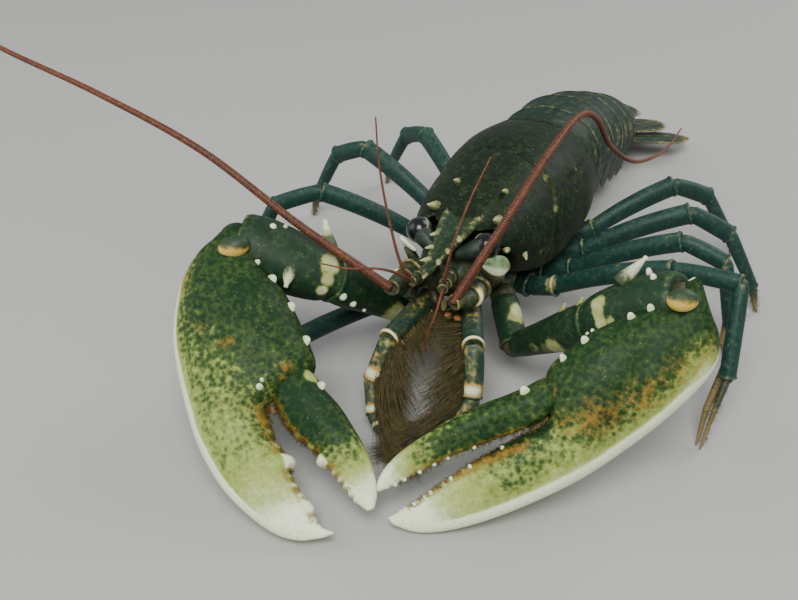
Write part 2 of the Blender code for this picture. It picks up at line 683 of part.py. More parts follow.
CUTTER = {
    "outer": [(-0.05, -0.01), (-0.02, 0.080), (-0.006, 0.130), (0.045, 0.184), (0.139, 0.211), (0.262, 0.223), (0.417, 0.223),
              (0.542, 0.213), (0.665, 0.190), (0.794, 0.155), (0.895, 0.114), (0.964, 0.068), (1.0, 0.018)],
    "inner": [(-0.05, 0.04), (-0.02, 0.042), (0.04, 0.036), (0.096, 0.049), (0.16, 0.064), (0.27, 0.085), (0.361, 0.083), (0.42, 0.068),
              (0.455, 0.030), (0.49, -0.034), (0.53, -0.045), (0.6, -0.037), (0.658, -0.030), (0.739, -0.017), (0.802, -0.009),
              (0.867, -0.004), (0.927, -0.001), (0.975, 0.004), (1.0, 0.008)],
    "thick": [(-0.05, 0.05), (-0.02, 0.065), (0.1, 0.088), (0.25, 0.098), (0.45, 0.086), (0.6, 0.062), (0.8, 0.045), (0.93, 0.028), (1.0, 0.008)],
    "finger_back": [(0.40, 0.045), (0.44, 0.062), (0.48, 0.069), (0.514, 0.076), (0.56, 0.088), (0.609, 0.102), (0.688, 0.119),
                    (0.782, 0.128), (0.871, 0.130), (0.93, 0.120), (0.965, 0.104), (0.98, 0.090)],
    "finger_bite": [(0.40, -0.010), (0.44, -0.020), (0.48, -0.026), (0.521, -0.026), (0.581, -0.010), (0.669, 0.016), (0.733, 0.034),
                    (0.799, 0.049), (0.869, 0.060), (0.92, 0.069), (0.965, 0.075), (0.98, 0.080)],
    "finger_thick": [(0.40, 0.04), (0.46, 0.058), (0.6, 0.055), (0.8, 0.042), (0.9, 0.030), (0.98, 0.008)],
}


def claw_of(side, shape, wrist, tip, facing):
    """The frame of a claw with the margins of its kind."""
    return Claw(side, wrist, tip, facing, shape["outer"], shape["inner"], None, shape["thick"])


def make_palm(claw, shape, bumps, teeth):
    """The palm with the fixed finger, its margin bumps, the knob of the wrist and the teeth."""
    first, last = shape["outer"][0][0], 1.0
    stations = [first + (last - first) * share for share in shares(21)]
    rings = []
    for along in stations:
        low, high = -smooth(shape["outer"], along), smooth(shape["inner"], along)
        thick = smooth(shape["thick"], along) * claw.length
        rings.append(claw.ring(along, low, max(high, low + 0.02), thick, 12))
    palm = loft(f"claw_palm_{claw.side}", rings, "claw_shell")
    pieces = []
    for along, size in bumps:
        across = smooth(shape["inner"], along)
        root = claw.place(along, across - 0.03, 0.004)
        tip = claw.place(along, across + 0.010, 0.006)
        pieces.append(cone("bump", root, tip, size * 1.25 * MM, size * 0.7 * MM, "claw_shell", 8))
    pieces += tooth_row(claw, shape["inner"], teeth, 1)
    return palm, pieces


def tooth_row(claw, margin, teeth, way):
    """Teeth that stand out of a biting edge: each is (share along, width, height) in millimetres."""
    row = []
    for along, wide, high in teeth:
        across = smooth(margin, along)
        root = claw.place(along, across) - claw.inward * way * 2.2 * MM
        tip = claw.place(along, across) + claw.inward * way * high * MM
        row.append(cone("tooth", root, tip, wide * MM, wide * 0.38 * MM, "claw_shell"))
    return row


def make_finger(claw, shape, teeth, bump_at):
    """The movable finger, with its teeth and the bump at its root."""
    first, last = shape["finger_back"][0][0], shape["finger_back"][-1][0]
    stations = [first + (last - first) * share for share in shares(12)]
    rings = []
    for along in stations:
        low, high = smooth(shape["finger_bite"], along), smooth(shape["finger_back"], along)
        thick = smooth(shape["finger_thick"], along) * claw.length
        rings.append(claw.ring(along, low, high, thick, 10))
    finger = loft(f"claw_finger_{claw.side}", rings, "claw_shell")
    pieces = tooth_row(claw, shape["finger_bite"], teeth, -1)
    across = smooth(shape["finger_back"], bump_at)
    root = claw.place(bump_at, across - 0.03, 0.003)
    tip = claw.place(bump_at, across + 0.010, 0.005)
    pieces.append(cone("bump", root, tip, 2.2 * MM, 1.2 * MM, "claw_shell", 8))
    return finger, pieces


def make_arm(side, joints, claw):
    """The three parts of an arm between the body and the claw: ischium, merus and carpus."""
    socket, base_end, elbow, wrist = joints
    along = (elbow - base_end).normalized()
    made = {}
    made["ischium"] = loft(
        f"claw_ischium_{side}",
        limb([socket, base_end], [(5.2 * MM, 5.0 * MM)], 1.0, 10),
        "leg_shell",
    )
    lift = Vector((0, 0, 1))
    merus_side = along.cross(lift).normalized()
    merus_up = merus_side.cross(along)
    merus_rings = []
    for share, wide, high in ((0.02, 4.6, 4.4), (0.2, 5.0, 5.2), (0.5, 6.2, 6.4), (0.8, 7.6, 7.8), (0.96, 7.4, 7.6)):
        centre = base_end.lerp(elbow, share)
        merus_rings.append(section(centre, merus_side, merus_up, wide * MM, high * MM, high * MM, 12))
    made["merus"] = loft(f"claw_merus_{side}", merus_rings, "leg_shell")
    reach = (wrist - elbow).normalized()
    carpus_side = reach.cross(claw.face).normalized()
    carpus_up = carpus_side.cross(reach)
    carpus_rings = []
    for share, wide, high in (
        (-0.06, 5.0, 4.8), (0.08, 8.2, 7.6), (0.3, 10.2, 9.6), (0.6, 11.8, 11.0), (0.85, 11.6, 11.4), (1.0, 8.6, 9.0)
    ):
        centre = elbow.lerp(wrist, share)
        carpus_rings.append(section(centre, carpus_side, carpus_up, wide * MM, high * MM, high * MM, 14))
    made["carpus"] = loft(f"claw_carpus_{side}", carpus_rings, "leg_shell")
    return made


def spine_on(place, direction, length, radius, finish="leg_shell"):
    """A blunt spine standing out of a limb, its root sunk well into it."""
    aim = direction.normalized()
    return cone("spine", place - aim * 2.5 * MM, place + aim * length * MM, radius * MM, 0.35 * radius * MM, finish)


def make_arms():
    """Both great claws with their arms."""
    crusher = claw_of("right", CRUSHER, at(-69, -37, 58), at(4, -101, 5.2), Vector((0.10, -0.50, 0.86)))
    cutter = claw_of("left", CUTTER, at(86, -10, 62), at(17, -87, 4.2), Vector((0.355, -0.748, 0.561)))
    right_joints = [at(-12, 18, 26), at(-18.5, 1.5, 19), at(-36, -26, 45.5), at(-68, -35, 58)]
    left_joints = [at(14, 18, 26), at(25, 2.5, 16.5), at(56.3, -8.5, 43), at(85, -10, 61)]
    made = []
    plans = (
        (crusher, CRUSHER, right_joints,
         [(0.112, 1.6), (0.19, 1.6), (0.305, 1.7), (0.428, 1.6)],
         [(0.65, 1.6, 0.8), (0.70, 2.2, 1.2), (0.752, 3.0, 2.2), (0.80, 1.6, 0.9), (0.85, 1.7, 1.1), (0.90, 2.3, 1.5), (0.94, 1.3, 0.9)],
         [(0.69, 1.6, 0.8), (0.74, 1.9, 1.2), (0.797, 2.6, 2.3), (0.85, 1.6, 1.0), (0.89, 1.5, 1.0), (0.93, 1.2, 0.8)],
         0.585, (0.070, 0.010)),
        (cutter, CUTTER, left_joints,
         [(0.103, 1.4), (0.159, 1.4), (0.295, 1.5), (0.37, 1.3)],
         [(0.56 + 0.035 * k, 0.95, 0.9 + 0.5 * (k % 3 == 1)) for k in range(12)],
         [(0.555 + 0.034 * k, 0.9, 0.8 + 0.5 * (k % 3 == 0)) for k in range(12)],
         0.505, (0.036, 0.018)),
    )
    for claw, shape, joints, bumps, palm_teeth, finger_teeth, bump_at, knob_at in plans:
        arm = make_arm(claw.side, joints, claw)
        palm, palm_pieces = make_palm(claw, shape, bumps, palm_teeth)
        finger, finger_pieces = make_finger(claw, shape, finger_teeth, bump_at)
        _, _, elbow, wrist = joints
        reach = (wrist - elbow).normalized()
        inner = (claw.inward - reach * claw.inward.dot(reach)).normalized()
        spines = []
        for share, lean, length, radius, out in (
            (0.30, 0.9, 4.4, 2.2, 9.0), (0.62, 0.75, 4.6, 2.3, 10.6), (0.80, 0.45, 3.0, 2.0, 10.6), (0.55, -0.1, 3.4, 1.8, 10.4)
        ):
            aim = (inner * lean + claw.face * (1 - abs(lean)) + reach * 0.25).normalized()
            spines.append(spine_on(elbow.lerp(wrist, share) + aim * (out - 0.8) * MM, aim, length, radius))
        fuse(arm["carpus"], spines)
        # The knob of the wrist is wider than it is long
        knob = [
            ball("knob", claw.place(knob_at[0], knob_at[1] + lean, 0.085 * claw.length), 3.8 * MM, "claw_shell", 10, 6)
            for lean in (-0.018, 0.018)
        ]
        fuse(palm, [*palm_pieces, *knob])
        fuse(finger, finger_pieces)
        cut_clear(arm["merus"], arm["ischium"])
        cut_clear(arm["carpus"], arm["merus"])
        cut_clear(palm, arm["carpus"])
        cut_clear(finger, palm)
        set_down(palm)
        set_down(finger)
        made.append((arm, palm, finger))
    return made


def centre_on_floor():
    """Moves every part, so that the middle of the animal's footprint is the origin."""
    places = [vert.co for obj in lobster.objects for vert in obj.data.vertices]
    middle_x = (min(place.x for place in places) + max(place.x for place in places)) / 2
    middle_y = (min(place.y for place in places) + max(place.y for place in places)) / 2
    for obj in lobster.objects:
        obj.data.transform(Matrix.Translation((-middle_x, -middle_y, 0)))


def main():
    carapace = make_carapace()
    head = make_head()
    thorax = make_thorax()
    face = make_face()
    for part in face.values():
        cut_clear(carapace, part["eye"])
    cut_clear(head, carapace, face["left"]["eye"], face["right"]["eye"])
    cut_clear(thorax, carapace, head)
    for part in face.values():
        cut_clear(part["antennule"], head)
        cut_clear(part["base"], head)
        cut_clear(part["antenna"][0], part["base"])
        cut_clear(part["scale"], part["base"], part["eye"], head, carapace)
        cut_clear(part["maxilliped"], head, thorax)
    abdomen, tail_root = make_abdomen()
    cut_clear(abdomen[0], carapace, thorax)
    make_tail_fan(tail_root, abdomen[-1])
    arms = make_arms()
    for arm, part in zip(arms, (face["right"], face["left"])):
        cut_clear(arm[0]["ischium"], thorax, carapace, head, part["maxilliped"])
    for part in face.values():
        for near, far in zip(part["antenna"], part["antenna"][1:]):
            cut_clear(far, near)
    for (number, side), joints in LEGS.items():
        pincer = number < 3
        upper, _ = make_leg(number, side, joints, PINCER_GIRTHS if pincer else LEG_GIRTHS, pincer)
        cut_clear(upper, thorax, carapace)
    centre_on_floor()


bpy.context.view_layer.update()
for old in list(bpy.data.objects):
    bpy.data.objects.remove(old)
lobster = bpy.data.collections.new("lobster")
cutters = bpy.data.collections.new("cutters")
bpy.context.scene.collection.children.link(lobster)
bpy.context.scene.collection.children.link(cutters)
main()
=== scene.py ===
"""A European lobster at life size, standing on its walking legs with both claws held in front of it.

Each piece of shell is a surface worked out with numpy and laid over its solid. Places are millimetres
from the point of the floor between the eyes: the head faces -Y, and the animal's left side is +X."""

import math

import bpy
import numpy as np
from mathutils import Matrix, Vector


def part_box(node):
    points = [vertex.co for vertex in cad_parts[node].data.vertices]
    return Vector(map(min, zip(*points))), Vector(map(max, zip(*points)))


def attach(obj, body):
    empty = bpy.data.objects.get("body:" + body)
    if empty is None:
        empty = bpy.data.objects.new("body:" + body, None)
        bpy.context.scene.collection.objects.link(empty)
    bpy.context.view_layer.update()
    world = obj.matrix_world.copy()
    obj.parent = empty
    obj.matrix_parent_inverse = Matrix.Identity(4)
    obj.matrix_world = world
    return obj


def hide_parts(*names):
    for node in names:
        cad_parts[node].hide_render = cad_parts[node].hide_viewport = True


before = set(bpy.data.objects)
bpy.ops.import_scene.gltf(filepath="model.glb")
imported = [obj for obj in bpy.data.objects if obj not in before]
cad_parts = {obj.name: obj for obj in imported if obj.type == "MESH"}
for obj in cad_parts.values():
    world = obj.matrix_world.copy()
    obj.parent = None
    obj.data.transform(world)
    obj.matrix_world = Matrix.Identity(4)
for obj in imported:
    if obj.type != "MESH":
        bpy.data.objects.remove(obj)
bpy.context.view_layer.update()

# The carapace ends 93 mm behind the eyes and is centred between them, which gives the point of the
# floor that every other place is measured from.
mm = 0.001
shield_end = 93
shield_low, shield_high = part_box("carapace")
floor_point = np.array([(shield_low.x + shield_high.x) / 2, shield_high.y - shield_end * mm, 0.0])

# Floor, light and camera
# A pale studio floor under a large soft light from above and a weaker one from the front. The camera
# looks down on the head from the animal's left front, as the photographer did.


def add_object(name, data):
    """A new object in the scene."""
    made = bpy.data.objects.new(name, data)
    bpy.context.scene.collection.objects.link(made)
    return made


def new_paint(name):
    """A new material, its node tree and its shader's inputs."""
    paint = bpy.data.materials.new(name)
    paint.use_nodes = True
    return paint, paint.node_tree, paint.node_tree.nodes["Principled BSDF"].inputs


floor_mesh = bpy.data.meshes.new("floor")
floor_mesh.from_pydata([(-4, -4, 0), (4, -4, 0), (4, 4, 0), (-4, 4, 0)], [], [(0, 1, 2, 3)])
floor = add_object("floor", floor_mesh)
floor_paint, _, floor_shader = new_paint("pale floor")
floor_shader["Base Color"].default_value = (0.40, 0.40, 0.38, 1)
floor_shader["Roughness"].default_value = 0.85
floor_mesh.materials.append(floor_paint)

world = bpy.data.worlds.new("studio")
world.use_nodes = True
world.node_tree.nodes["Background"].inputs["Color"].default_value = (0.93, 0.96, 1.0, 1)
world.node_tree.nodes["Background"].inputs["Strength"].default_value = 0.42
bpy.context.scene.world = world

lamps = [
    # name, place from the floor point and size in metres, power, colour
    ("key", (0.25, -0.75, 1.15), 0.7, 21.0, (1.0, 0.985, 0.95)),
    ("fill", (-0.95, -0.45, 0.6), 0.9, 5.0, (0.93, 0.97, 1.0)),
    ("rear", (0.5, 0.9, 0.8), 0.7, 7.0, (1.0, 1.0, 1.0)),
]
lit_height = 0.04
for lamp_name, lamp_place, lamp_size, lamp_power, lamp_colour in lamps:
    lamp = bpy.data.lights.new(lamp_name, "AREA")
    lamp.size = lamp_size
    lamp.energy = lamp_power
    lamp.color = lamp_colour
    lamp_object = add_object(lamp_name, lamp)
    lamp_object.location = Vector(lamp_place) + Vector(floor_point)
    aim = Vector((0.0, 0.0, lit_height)) - Vector(lamp_place)
    lamp_object.rotation_euler = aim.to_track_quat("-Z", "Y").to_euler()

turn, tilt, reach = math.radians(25.4), math.radians(34.1), 356.2
looked_at = Vector((7.4, -60.0, 69.8))
photo_width, photo_focus = 798, 1154.8
back = Vector((math.sin(turn) * math.cos(tilt), -math.cos(turn) * math.cos(tilt), math.sin(tilt)))
camera = add_object("camera", bpy.data.cameras.new("camera"))
camera.data.sensor_width = 36
camera.data.lens = camera.data.sensor_width * photo_focus / photo_width
camera.data.clip_start = 0.01
camera.location = (looked_at + back * reach) * mm + Vector(floor_point)
camera.rotation_euler = (-back).to_track_quat("-Z", "Y").to_euler()
bpy.context.scene.camera = camera

# The carapace
# One hard shield of lime-filled shell over head and thorax. It bulges over the gills, and the cervical
# groove runs over its back and down its flanks towards the mouth. Its free edges are rolled in.


def curve_through(keys, where):
    """Smooth curve through rows of (position, values): a cubic between each two rows, whose slope at a
    row is that of the straight line between its neighbours."""
    keys, where = np.asarray(keys, float), np.asarray(where, float)
    x, y = keys[:, 0], keys[:, 1:]
    k = np.clip(np.searchsorted(x, where), 1, len(x) - 1)
    before, after = np.maximum(k - 2, 0), np.minimum(k + 1, len(x) - 1)
    span = (x[k] - x[k - 1])[..., None]
    slope_0 = (y[k] - y[before]) / (x[k] - x[before])[..., None]
    slope_1 = (y[after] - y[k - 1]) / (x[after] - x[k - 1])[..., None]
    u = (where - x[k - 1])[..., None] / span
    value = y[k - 1] * (2 * u**3 - 3 * u**2 + 1) + slope_0 * span * (u**3 - 2 * u**2 + u)
    value += y[k] * (3 * u**2 - 2 * u**3) + slope_1 * span * (u**3 - u**2)
    return value[..., 0] if y.shape[1] == 1 else value


def smooth_step(low, high, value):
    """0 below low, 1 above high, and an S-curve between them."""
    u = np.clip((value - low) / (high - low), 0, 1)
    return u * u * (3 - 2 * u)


def bump_at(value, centre, width):
    """A bell: 1 where value is at centre, falling to nearly nothing at twice the width from it."""
    return np.exp(-(((value - centre) / width) ** 2))


def unit(ways):
    """Directions brought to length 1."""
    return ways / np.linalg.norm(ways, axis=-1, keepdims=True)


def ring_angles(count):
    """Equal steps once round a section, as one row."""
    return (np.arange(count) + 0.5)[None] / count * 2 * np.pi


def ellipse_ring(turn, half, top, low, upper, lower):
    """Across and up of a closed section: a super-ellipse of exponent upper above its middle and lower
    below it. turn is the angle, and half, top and low are its reaches."""
    across, along = np.cos(turn), np.sin(turn)
    power = 2 / np.where(along > 0, upper, lower)
    x = half * np.sign(across) * np.abs(across) ** power
    z = np.where(along > 0, top, low) * np.sign(along) * np.abs(along) ** power
    return x, z


def set_trait(mesh, trait, numbers):
    """Keeps a number for each place of a mesh under the trait's name."""
    attribute = mesh.attributes.get(trait) or mesh.attributes.new(trait, "FLOAT", "POINT")
    attribute.data.foreach_set("value", np.asarray(numbers, np.float32))


def read_fade(mesh):
    """The fade at each place of a mesh, 0 where it has none."""
    fade = np.zeros(len(mesh.vertices), np.float32)
    if "fade" in mesh.attributes:
        mesh.attributes["fade"].data.foreach_get("value", fade)
    return fade


def read_places(mesh):
    """The places of a mesh in millimetres."""
    places = np.zeros(len(mesh.vertices) * 3)
    mesh.vertices.foreach_get("co", places)
    return (places.reshape(-1, 3) - floor_point) / mm


def new_mesh(places, faces, **traits):
    """A smooth mesh of places in millimetres. Each trait is a number per place."""
    mesh = bpy.data.meshes.new("mesh")
    mesh.from_pydata((places * mm + floor_point).tolist(), [], faces)
    for trait, numbers in traits.items():
        set_trait(mesh, trait, numbers)
    mesh.shade_smooth()
    return mesh


def skin(points, **traits):
    """A mesh over a grid of places in millimetres. Each row joins the next, each column the next, and
    the last column the first. The first and last row close to a middle point, and the faces point
    outward: where the volume they enclose comes out negative, they are turned round."""
    rows, columns = points.shape[:2]
    index = np.arange(rows * columns).reshape(rows, columns)
    turned = np.roll(index, -1, axis=1)
    quads = np.stack([index[:-1], turned[:-1], turned[1:], index[1:]], -1).reshape(-1, 4)
    first, last = np.full(columns, rows * columns), np.full(columns, rows * columns + 1)
    fans = [np.stack([turned[0], index[0], first], -1), np.stack([index[-1], turned[-1], last], -1)]
    fans = np.concatenate(fans)
    places = np.concatenate([points.reshape(-1, 3), [points[0].mean(0), points[-1].mean(0)]])
    corners = np.concatenate([places[quads[:, [0, 1, 2]]], places[quads[:, [0, 2, 3]]], places[fans]])
    corners = corners - places[0]
    if np.einsum("ij,ij->", corners[:, 0], np.cross(corners[:, 1], corners[:, 2])) < 0:
        quads, fans = quads[:, ::-1], fans[:, ::-1]
    for trait, numbers in traits.items():
        numbers = np.broadcast_to(numbers, (rows, columns))
        traits[trait] = np.append(numbers.ravel(), [numbers[0].mean(), numbers[-1].mean()])
    return new_mesh(places, quads.tolist() + fans.tolist(), **traits)


def place_piece(name, meshes, finish, nodes=()):
    """Joins meshes into one object of the lobster, gives it its finish and lets it stand for CAD nodes."""
    meshes = meshes if isinstance(meshes, list) else [meshes]
    mesh = meshes[0]
    if len(meshes) > 1:
        starts = np.cumsum([0] + [len(part.vertices) for part in meshes])
        faces = []
        for part, start in zip(meshes, starts):
            faces += [[corner + start for corner in face.vertices] for face in part.polygons]
        places = np.concatenate([read_places(part) for part in meshes])
        mesh = new_mesh(places, faces, fade=np.concatenate([read_fade(part) for part in meshes]))
    mesh.name = name
    piece = add_object(name, mesh)
    mesh.materials.append(finish)
    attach(piece, "root")
    if nodes:
        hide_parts(*nodes)


def feed(tree, socket, source):
    """Gives a node's input a value or another node's output."""
    if isinstance(source, bpy.types.NodeSocket):
        tree.links.new(source, socket)
    else:
        socket.default_value = source


def colour_mix(tree, factor, first, second):
    """A node that mixes two colours by a factor."""
    node = tree.nodes.new("ShaderNodeMix")
    node.data_type = "RGBA"
    for k, source in ((0, factor), (6, first), (7, second)):
        feed(tree, node.inputs[k], source)
    return node.outputs[2]


def step_node(tree, value, low, high, start=0.0, end=1.0):
    """A Map Range node with a smooth step from start at low to end at high."""
    node = tree.nodes.new("ShaderNodeMapRange")
    node.interpolation_type = "SMOOTHSTEP"
    named = {"Value": value, "From Min": low, "From Max": high, "To Min": start, "To Max": end}
    for socket, source in named.items():
        feed(tree, node.inputs[socket], source)
    return node.outputs["Result"]


def noise_node(tree, place, scale, detail):
    """A noise texture read at place."""
    node = tree.nodes.new("ShaderNodeTexNoise")
    for socket, source in {"Vector": place, "Scale": scale, "Detail": detail, "Roughness": 0.62}.items():
        feed(tree, node.inputs[socket], source)
    return node.outputs["Fac"]


def cell_node(tree, place, scale, feature="F1"):
    """A Voronoi texture read at place: the distance to the nearest of its scattered points."""
    node = tree.nodes.new("ShaderNodeTexVoronoi")
    node.feature = feature
    feed(tree, node.inputs["Vector"], place)
    feed(tree, node.inputs["Scale"], scale)
    return node.outputs["Distance"]


def raise_surface(tree, shader, height, strength, distance):
    """Gives a shader the relief of a height."""
    bump = tree.nodes.new("ShaderNodeBump")
    for socket, source in {"Strength": strength, "Distance": distance, "Height": height}.items():
        feed(tree, bump.inputs[socket], source)
    tree.links.new(bump.outputs["Normal"], shader["Normal"])


# Lobster shell is pigmented in blotches: dark cells close together, an olive net between them, and a
# straw and then nearly white shade where the shell is thick or worn. Fade says how far along that is.
shell_pattern = bpy.data.node_groups.new("shell pattern", "ShaderNodeTree")
for way, kind, names in (
    ("INPUT", "NodeSocketFloat", ("Fade", "Warm", "Grain")),
    ("INPUT", "NodeSocketColor", ("Dark", "Olive", "Straw", "Pale", "Rust")),
    ("OUTPUT", "NodeSocketColor", ("Colour",)),
    ("OUTPUT", "NodeSocketFloat", ("Roughness", "Height")),
):
    for socket_name in names:
        shell_pattern.interface.new_socket(name=socket_name, in_out=way, socket_type=kind)


def reckon(kind, *terms):
    """A Math node of the shell pattern over one to three sockets or numbers."""
    node = shell_pattern.nodes.new("ShaderNodeMath")
    node.operation = kind
    for socket, term in zip(node.inputs, terms):
        feed(shell_pattern, socket, term)
    return node.outputs[0]


entry = shell_pattern.nodes.new("NodeGroupInput").outputs
leave = shell_pattern.nodes.new("NodeGroupOutput").inputs
where = shell_pattern.nodes.new("ShaderNodeTexCoord").outputs["Object"]
broad = noise_node(shell_pattern, where, 62.0, 2)
middle = noise_node(shell_pattern, where, entry["Grain"], 5)
patch = noise_node(shell_pattern, where, 150.0, 3)
cells = cell_node(shell_pattern, where, reckon("MULTIPLY", entry["Grain"], 1.25))
pits = cell_node(shell_pattern, where, 780.0)
fine = noise_node(shell_pattern, where, 2300.0, 3)
blotch = reckon("MULTIPLY", reckon("SUBTRACT", middle, 0.5), 1.25)
for texture, centre, strength in ((broad, 0.5, 0.45), (patch, 0.5, 0.40), (cells, 0.42, 0.52)):
    blotch = reckon("MULTIPLY_ADD", reckon("SUBTRACT", texture, centre), strength, blotch)
firm = step_node(shell_pattern, entry["Fade"], 0.25, 0.85, 1.0, 0.26)
calm = step_node(shell_pattern, entry["Fade"], 0.04, 0.28, 0.62, 1.0)
shift = reckon("MULTIPLY_ADD", blotch, reckon("MULTIPLY", firm, calm), entry["Fade"])
tone = entry["Dark"]
for low, high, shade in ((0.0, 0.34, "Olive"), (0.30, 0.82, "Straw"), (0.72, 1.42, "Pale")):
    tone = colour_mix(shell_pattern, step_node(shell_pattern, shift, low, high), tone, entry[shade])
rusty = step_node(shell_pattern, reckon("MULTIPLY_ADD", entry["Warm"], 0.30, middle), 0.52, 0.86, 0.0, 0.80)
rusty = reckon("MULTIPLY", step_node(shell_pattern, entry["Warm"], 0.0, 0.5), rusty)
tone_node = shell_pattern.nodes.new("ShaderNodeVectorMath")
tone_node.operation = "SCALE"
feed(shell_pattern, tone_node.inputs[0], colour_mix(shell_pattern, rusty, tone, entry["Rust"]))
feed(shell_pattern, tone_node.inputs["Scale"], step_node(shell_pattern, fine, 0.30, 0.62, 0.76, 1.08))
pit_mark = step_node(shell_pattern, pits, 0.10, 0.20, 1.0, 0.0)
speck = reckon("MULTIPLY", pit_mark, step_node(shell_pattern, middle, 0.46, 0.60, 0.0, 0.5))
tone = colour_mix(shell_pattern, speck, tone_node.outputs[0], (0.34, 0.30, 0.13, 1))
feed(shell_pattern, leave["Colour"], tone)
feed(shell_pattern, leave["Roughness"], step_node(shell_pattern, middle, 0.3, 0.7, 0.46, 0.62))
relief = reckon("MULTIPLY_ADD", pit_mark, -0.55, reckon("MULTIPLY", fine, 0.35))
feed(shell_pattern, leave["Height"], reckon("MULTIPLY_ADD", middle, 0.6, relief))


def shell_finish(name, dark, olive, straw, pale, grain, relief, coat=0.07, gloss=0.4):
    """Wet, pitted shell: the shell pattern in four shades under a thin clear coat. It reads the fade
    of the piece, 0 for the darkest blotched shell and 1 for the palest, and its rusty stain, warm."""
    finish, tree, shader = new_paint(name)
    pattern = tree.nodes.new("ShaderNodeGroup")
    pattern.node_tree = shell_pattern
    for trait in ("fade", "warm"):
        reader = tree.nodes.new("ShaderNodeAttribute")
        reader.attribute_name = trait
        tree.links.new(reader.outputs["Fac"], pattern.inputs[trait.title()])
    pattern.inputs["Grain"].default_value = grain
    shades = {"Dark": dark, "Olive": olive, "Straw": straw, "Pale": pale, "Rust": (0.27, 0.145, 0.022)}
    for socket, colour in shades.items():
        pattern.inputs[socket].default_value = (*colour, 1)
    tree.links.new(pattern.outputs["Colour"], shader["Base Color"])
    tree.links.new(pattern.outputs["Roughness"], shader["Roughness"])
    raise_surface(tree, shader, pattern.outputs["Height"], relief, 0.0006)
    for socket, number in (("Coat Weight", coat), ("Coat Roughness", 0.28), ("Specular IOR Level", gloss)):
        shader[socket].default_value = number
    return finish


shield_shape = [
    # behind the eyes, half width, height of the back, height of the lower edge
    (4, 15.5, 60.5, 50.5), (10, 19, 62.8, 44.5), (20, 23.2, 65.2, 35), (35, 26.6, 67.6, 28),
    (52, 28.6, 69.2, 25.5), (72, 28.8, 68.4, 25), (86, 27, 66, 27), (shield_end, 24, 64, 31),
]
behind = np.linspace(4, shield_end, 190)[:, None]
half, top, low = np.split(curve_through(shield_shape, behind[:, 0]), 3, axis=1)
level = low + 0.42 * (top - low)
around = ring_angles(200)
x, z = ellipse_ring(around, half, top - level, level - low, 2.15, 3.4)
y = behind + 0 * x
down = (top - level - z) / (top - low)
outward = unit(np.stack([x / half**2, 0 * x, z / (top - level) ** 2], -1))
shown = 1 - smooth_step(0.78, 0.9, down)
cervical = bump_at(y, 52 - 26 * down - 3 * np.sin(down * 6), 1.5) * 1.5
cervical += bump_at(y, 55 - 26 * down, 5.0) * 0.6
gill_line = bump_at(down, 0.24 + 0.0006 * (y - 60), 0.022) * smooth_step(52, 60, y) * 0.45
cheek = bump_at(y, 30 - 20 * (down - 0.45), 1.6) * bump_at(down, 0.55, 0.13) * 0.9
seam = bump_at(x, 0, 0.55) * (z > 0) * 0.42
rear_rim = bump_at(y, 88.2, 0.9) * 0.75 - bump_at(y, 91, 1.4) * 0.35
swell = bump_at(y, 72, 14) * bump_at(down, 0.36, 0.22) * 0.8
pinch = -bump_at(x / half, 0, 0.35) * bump_at(y, 60, 8) * 0.3
ridge_line = np.abs(x) - 5.2 - 0.10 * (y - 4)
ridges = bump_at(ridge_line, 0, 1.1) * (z > 0) * (1 - smooth_step(8, 30, y)) * 0.7
depth = (cervical + gill_line + cheek + seam + rear_rim + pinch) * shown - swell * shown - ridges
shield = np.stack([x, y, z + level], -1) - outward * depth[..., None]
# The front edge is cut back round each eye and again at the cheek, and its lower corner is rounded
cut = 6.0 * bump_at(np.abs(x), 12.2, 3.2) * (z > 0) + 10.0 * smooth_step(0.45, 1.0, down)
shield[..., 1] += cut * np.exp(-(y - 4) / 7.0)
# Both ends roll inward: each lip ring is drawn towards the middle line by a share and moved along
front_middle, rear_middle = ([0, behind[k, 0], level[k, 0]] for k in (0, -1))
lips = [shield]
for share, shift in ((0.02, 0.1), (0.07, 1.6), (0.16, 7)):
    lips.insert(0, shield[:1] + (front_middle - shield[:1]) * (share, 0, share) + (0, shift, 0))
for share, shift in ((0.02, 0.0), (0.06, 0.8), (0.14, 5)):
    lips.append(shield[-1:] + (rear_middle - shield[-1:]) * (share, 0, share) - (0, shift, 0))
fade = 0.06 + 0.10 * smooth_step(0.55, 0.85, down) + 0.16 * (rear_rim > 0.3)
fade += 0.50 * bump_at(y, 50.5 - 26 * down, 1.9) * bump_at(down, 0.12, 0.035) * (x > 0)
fade += 0.24 * bump_at(y, 50 - 26 * down, 1.6) * smooth_step(0.05, 0.25, down) * shown
for mark_x, mark_y, mark_z, mark_size, mark_shade in (
    (27, 15, 38, 3.2, 0.85), (27.5, 27, 44, 2.2, 0.75), (26, 42, 58, 1.3, 0.55), (12, 51, 68.5, 1.6, 0.5),
    (19, 47, 66, 2.0, 0.45), (-20, 30, 60, 1.4, 0.4), (8, 30, 67, 1.0, 0.35), (24, 66, 60, 1.3, 0.4),
):
    spread = np.linalg.norm(shield - (mark_x, mark_y, mark_z), axis=-1)
    fade += mark_shade * np.exp(-((spread / mark_size) ** 2))
fade = np.concatenate([fade[:1]] * 3 + [fade] + [fade[-1:]] * 3)
body_shell = shell_finish(
    "body shell", (0.005, 0.014, 0.006), (0.021, 0.035, 0.011), (0.22, 0.24, 0.08), (0.60, 0.68, 0.42),
    grain=420, relief=0.3, coat=0.03, gloss=0.15,
)
shield_mesh = skin(np.concatenate(lips), fade=fade)
place_piece("carapace_shield", shield_mesh, body_shell, ["carapace"])

# The rostrum and the spines of the carapace
# The beak between the eyes is part of the shield. It is hollow above between two keels, each keel bears
# three forward teeth, and a spine stands behind each eye and beside each antenna.


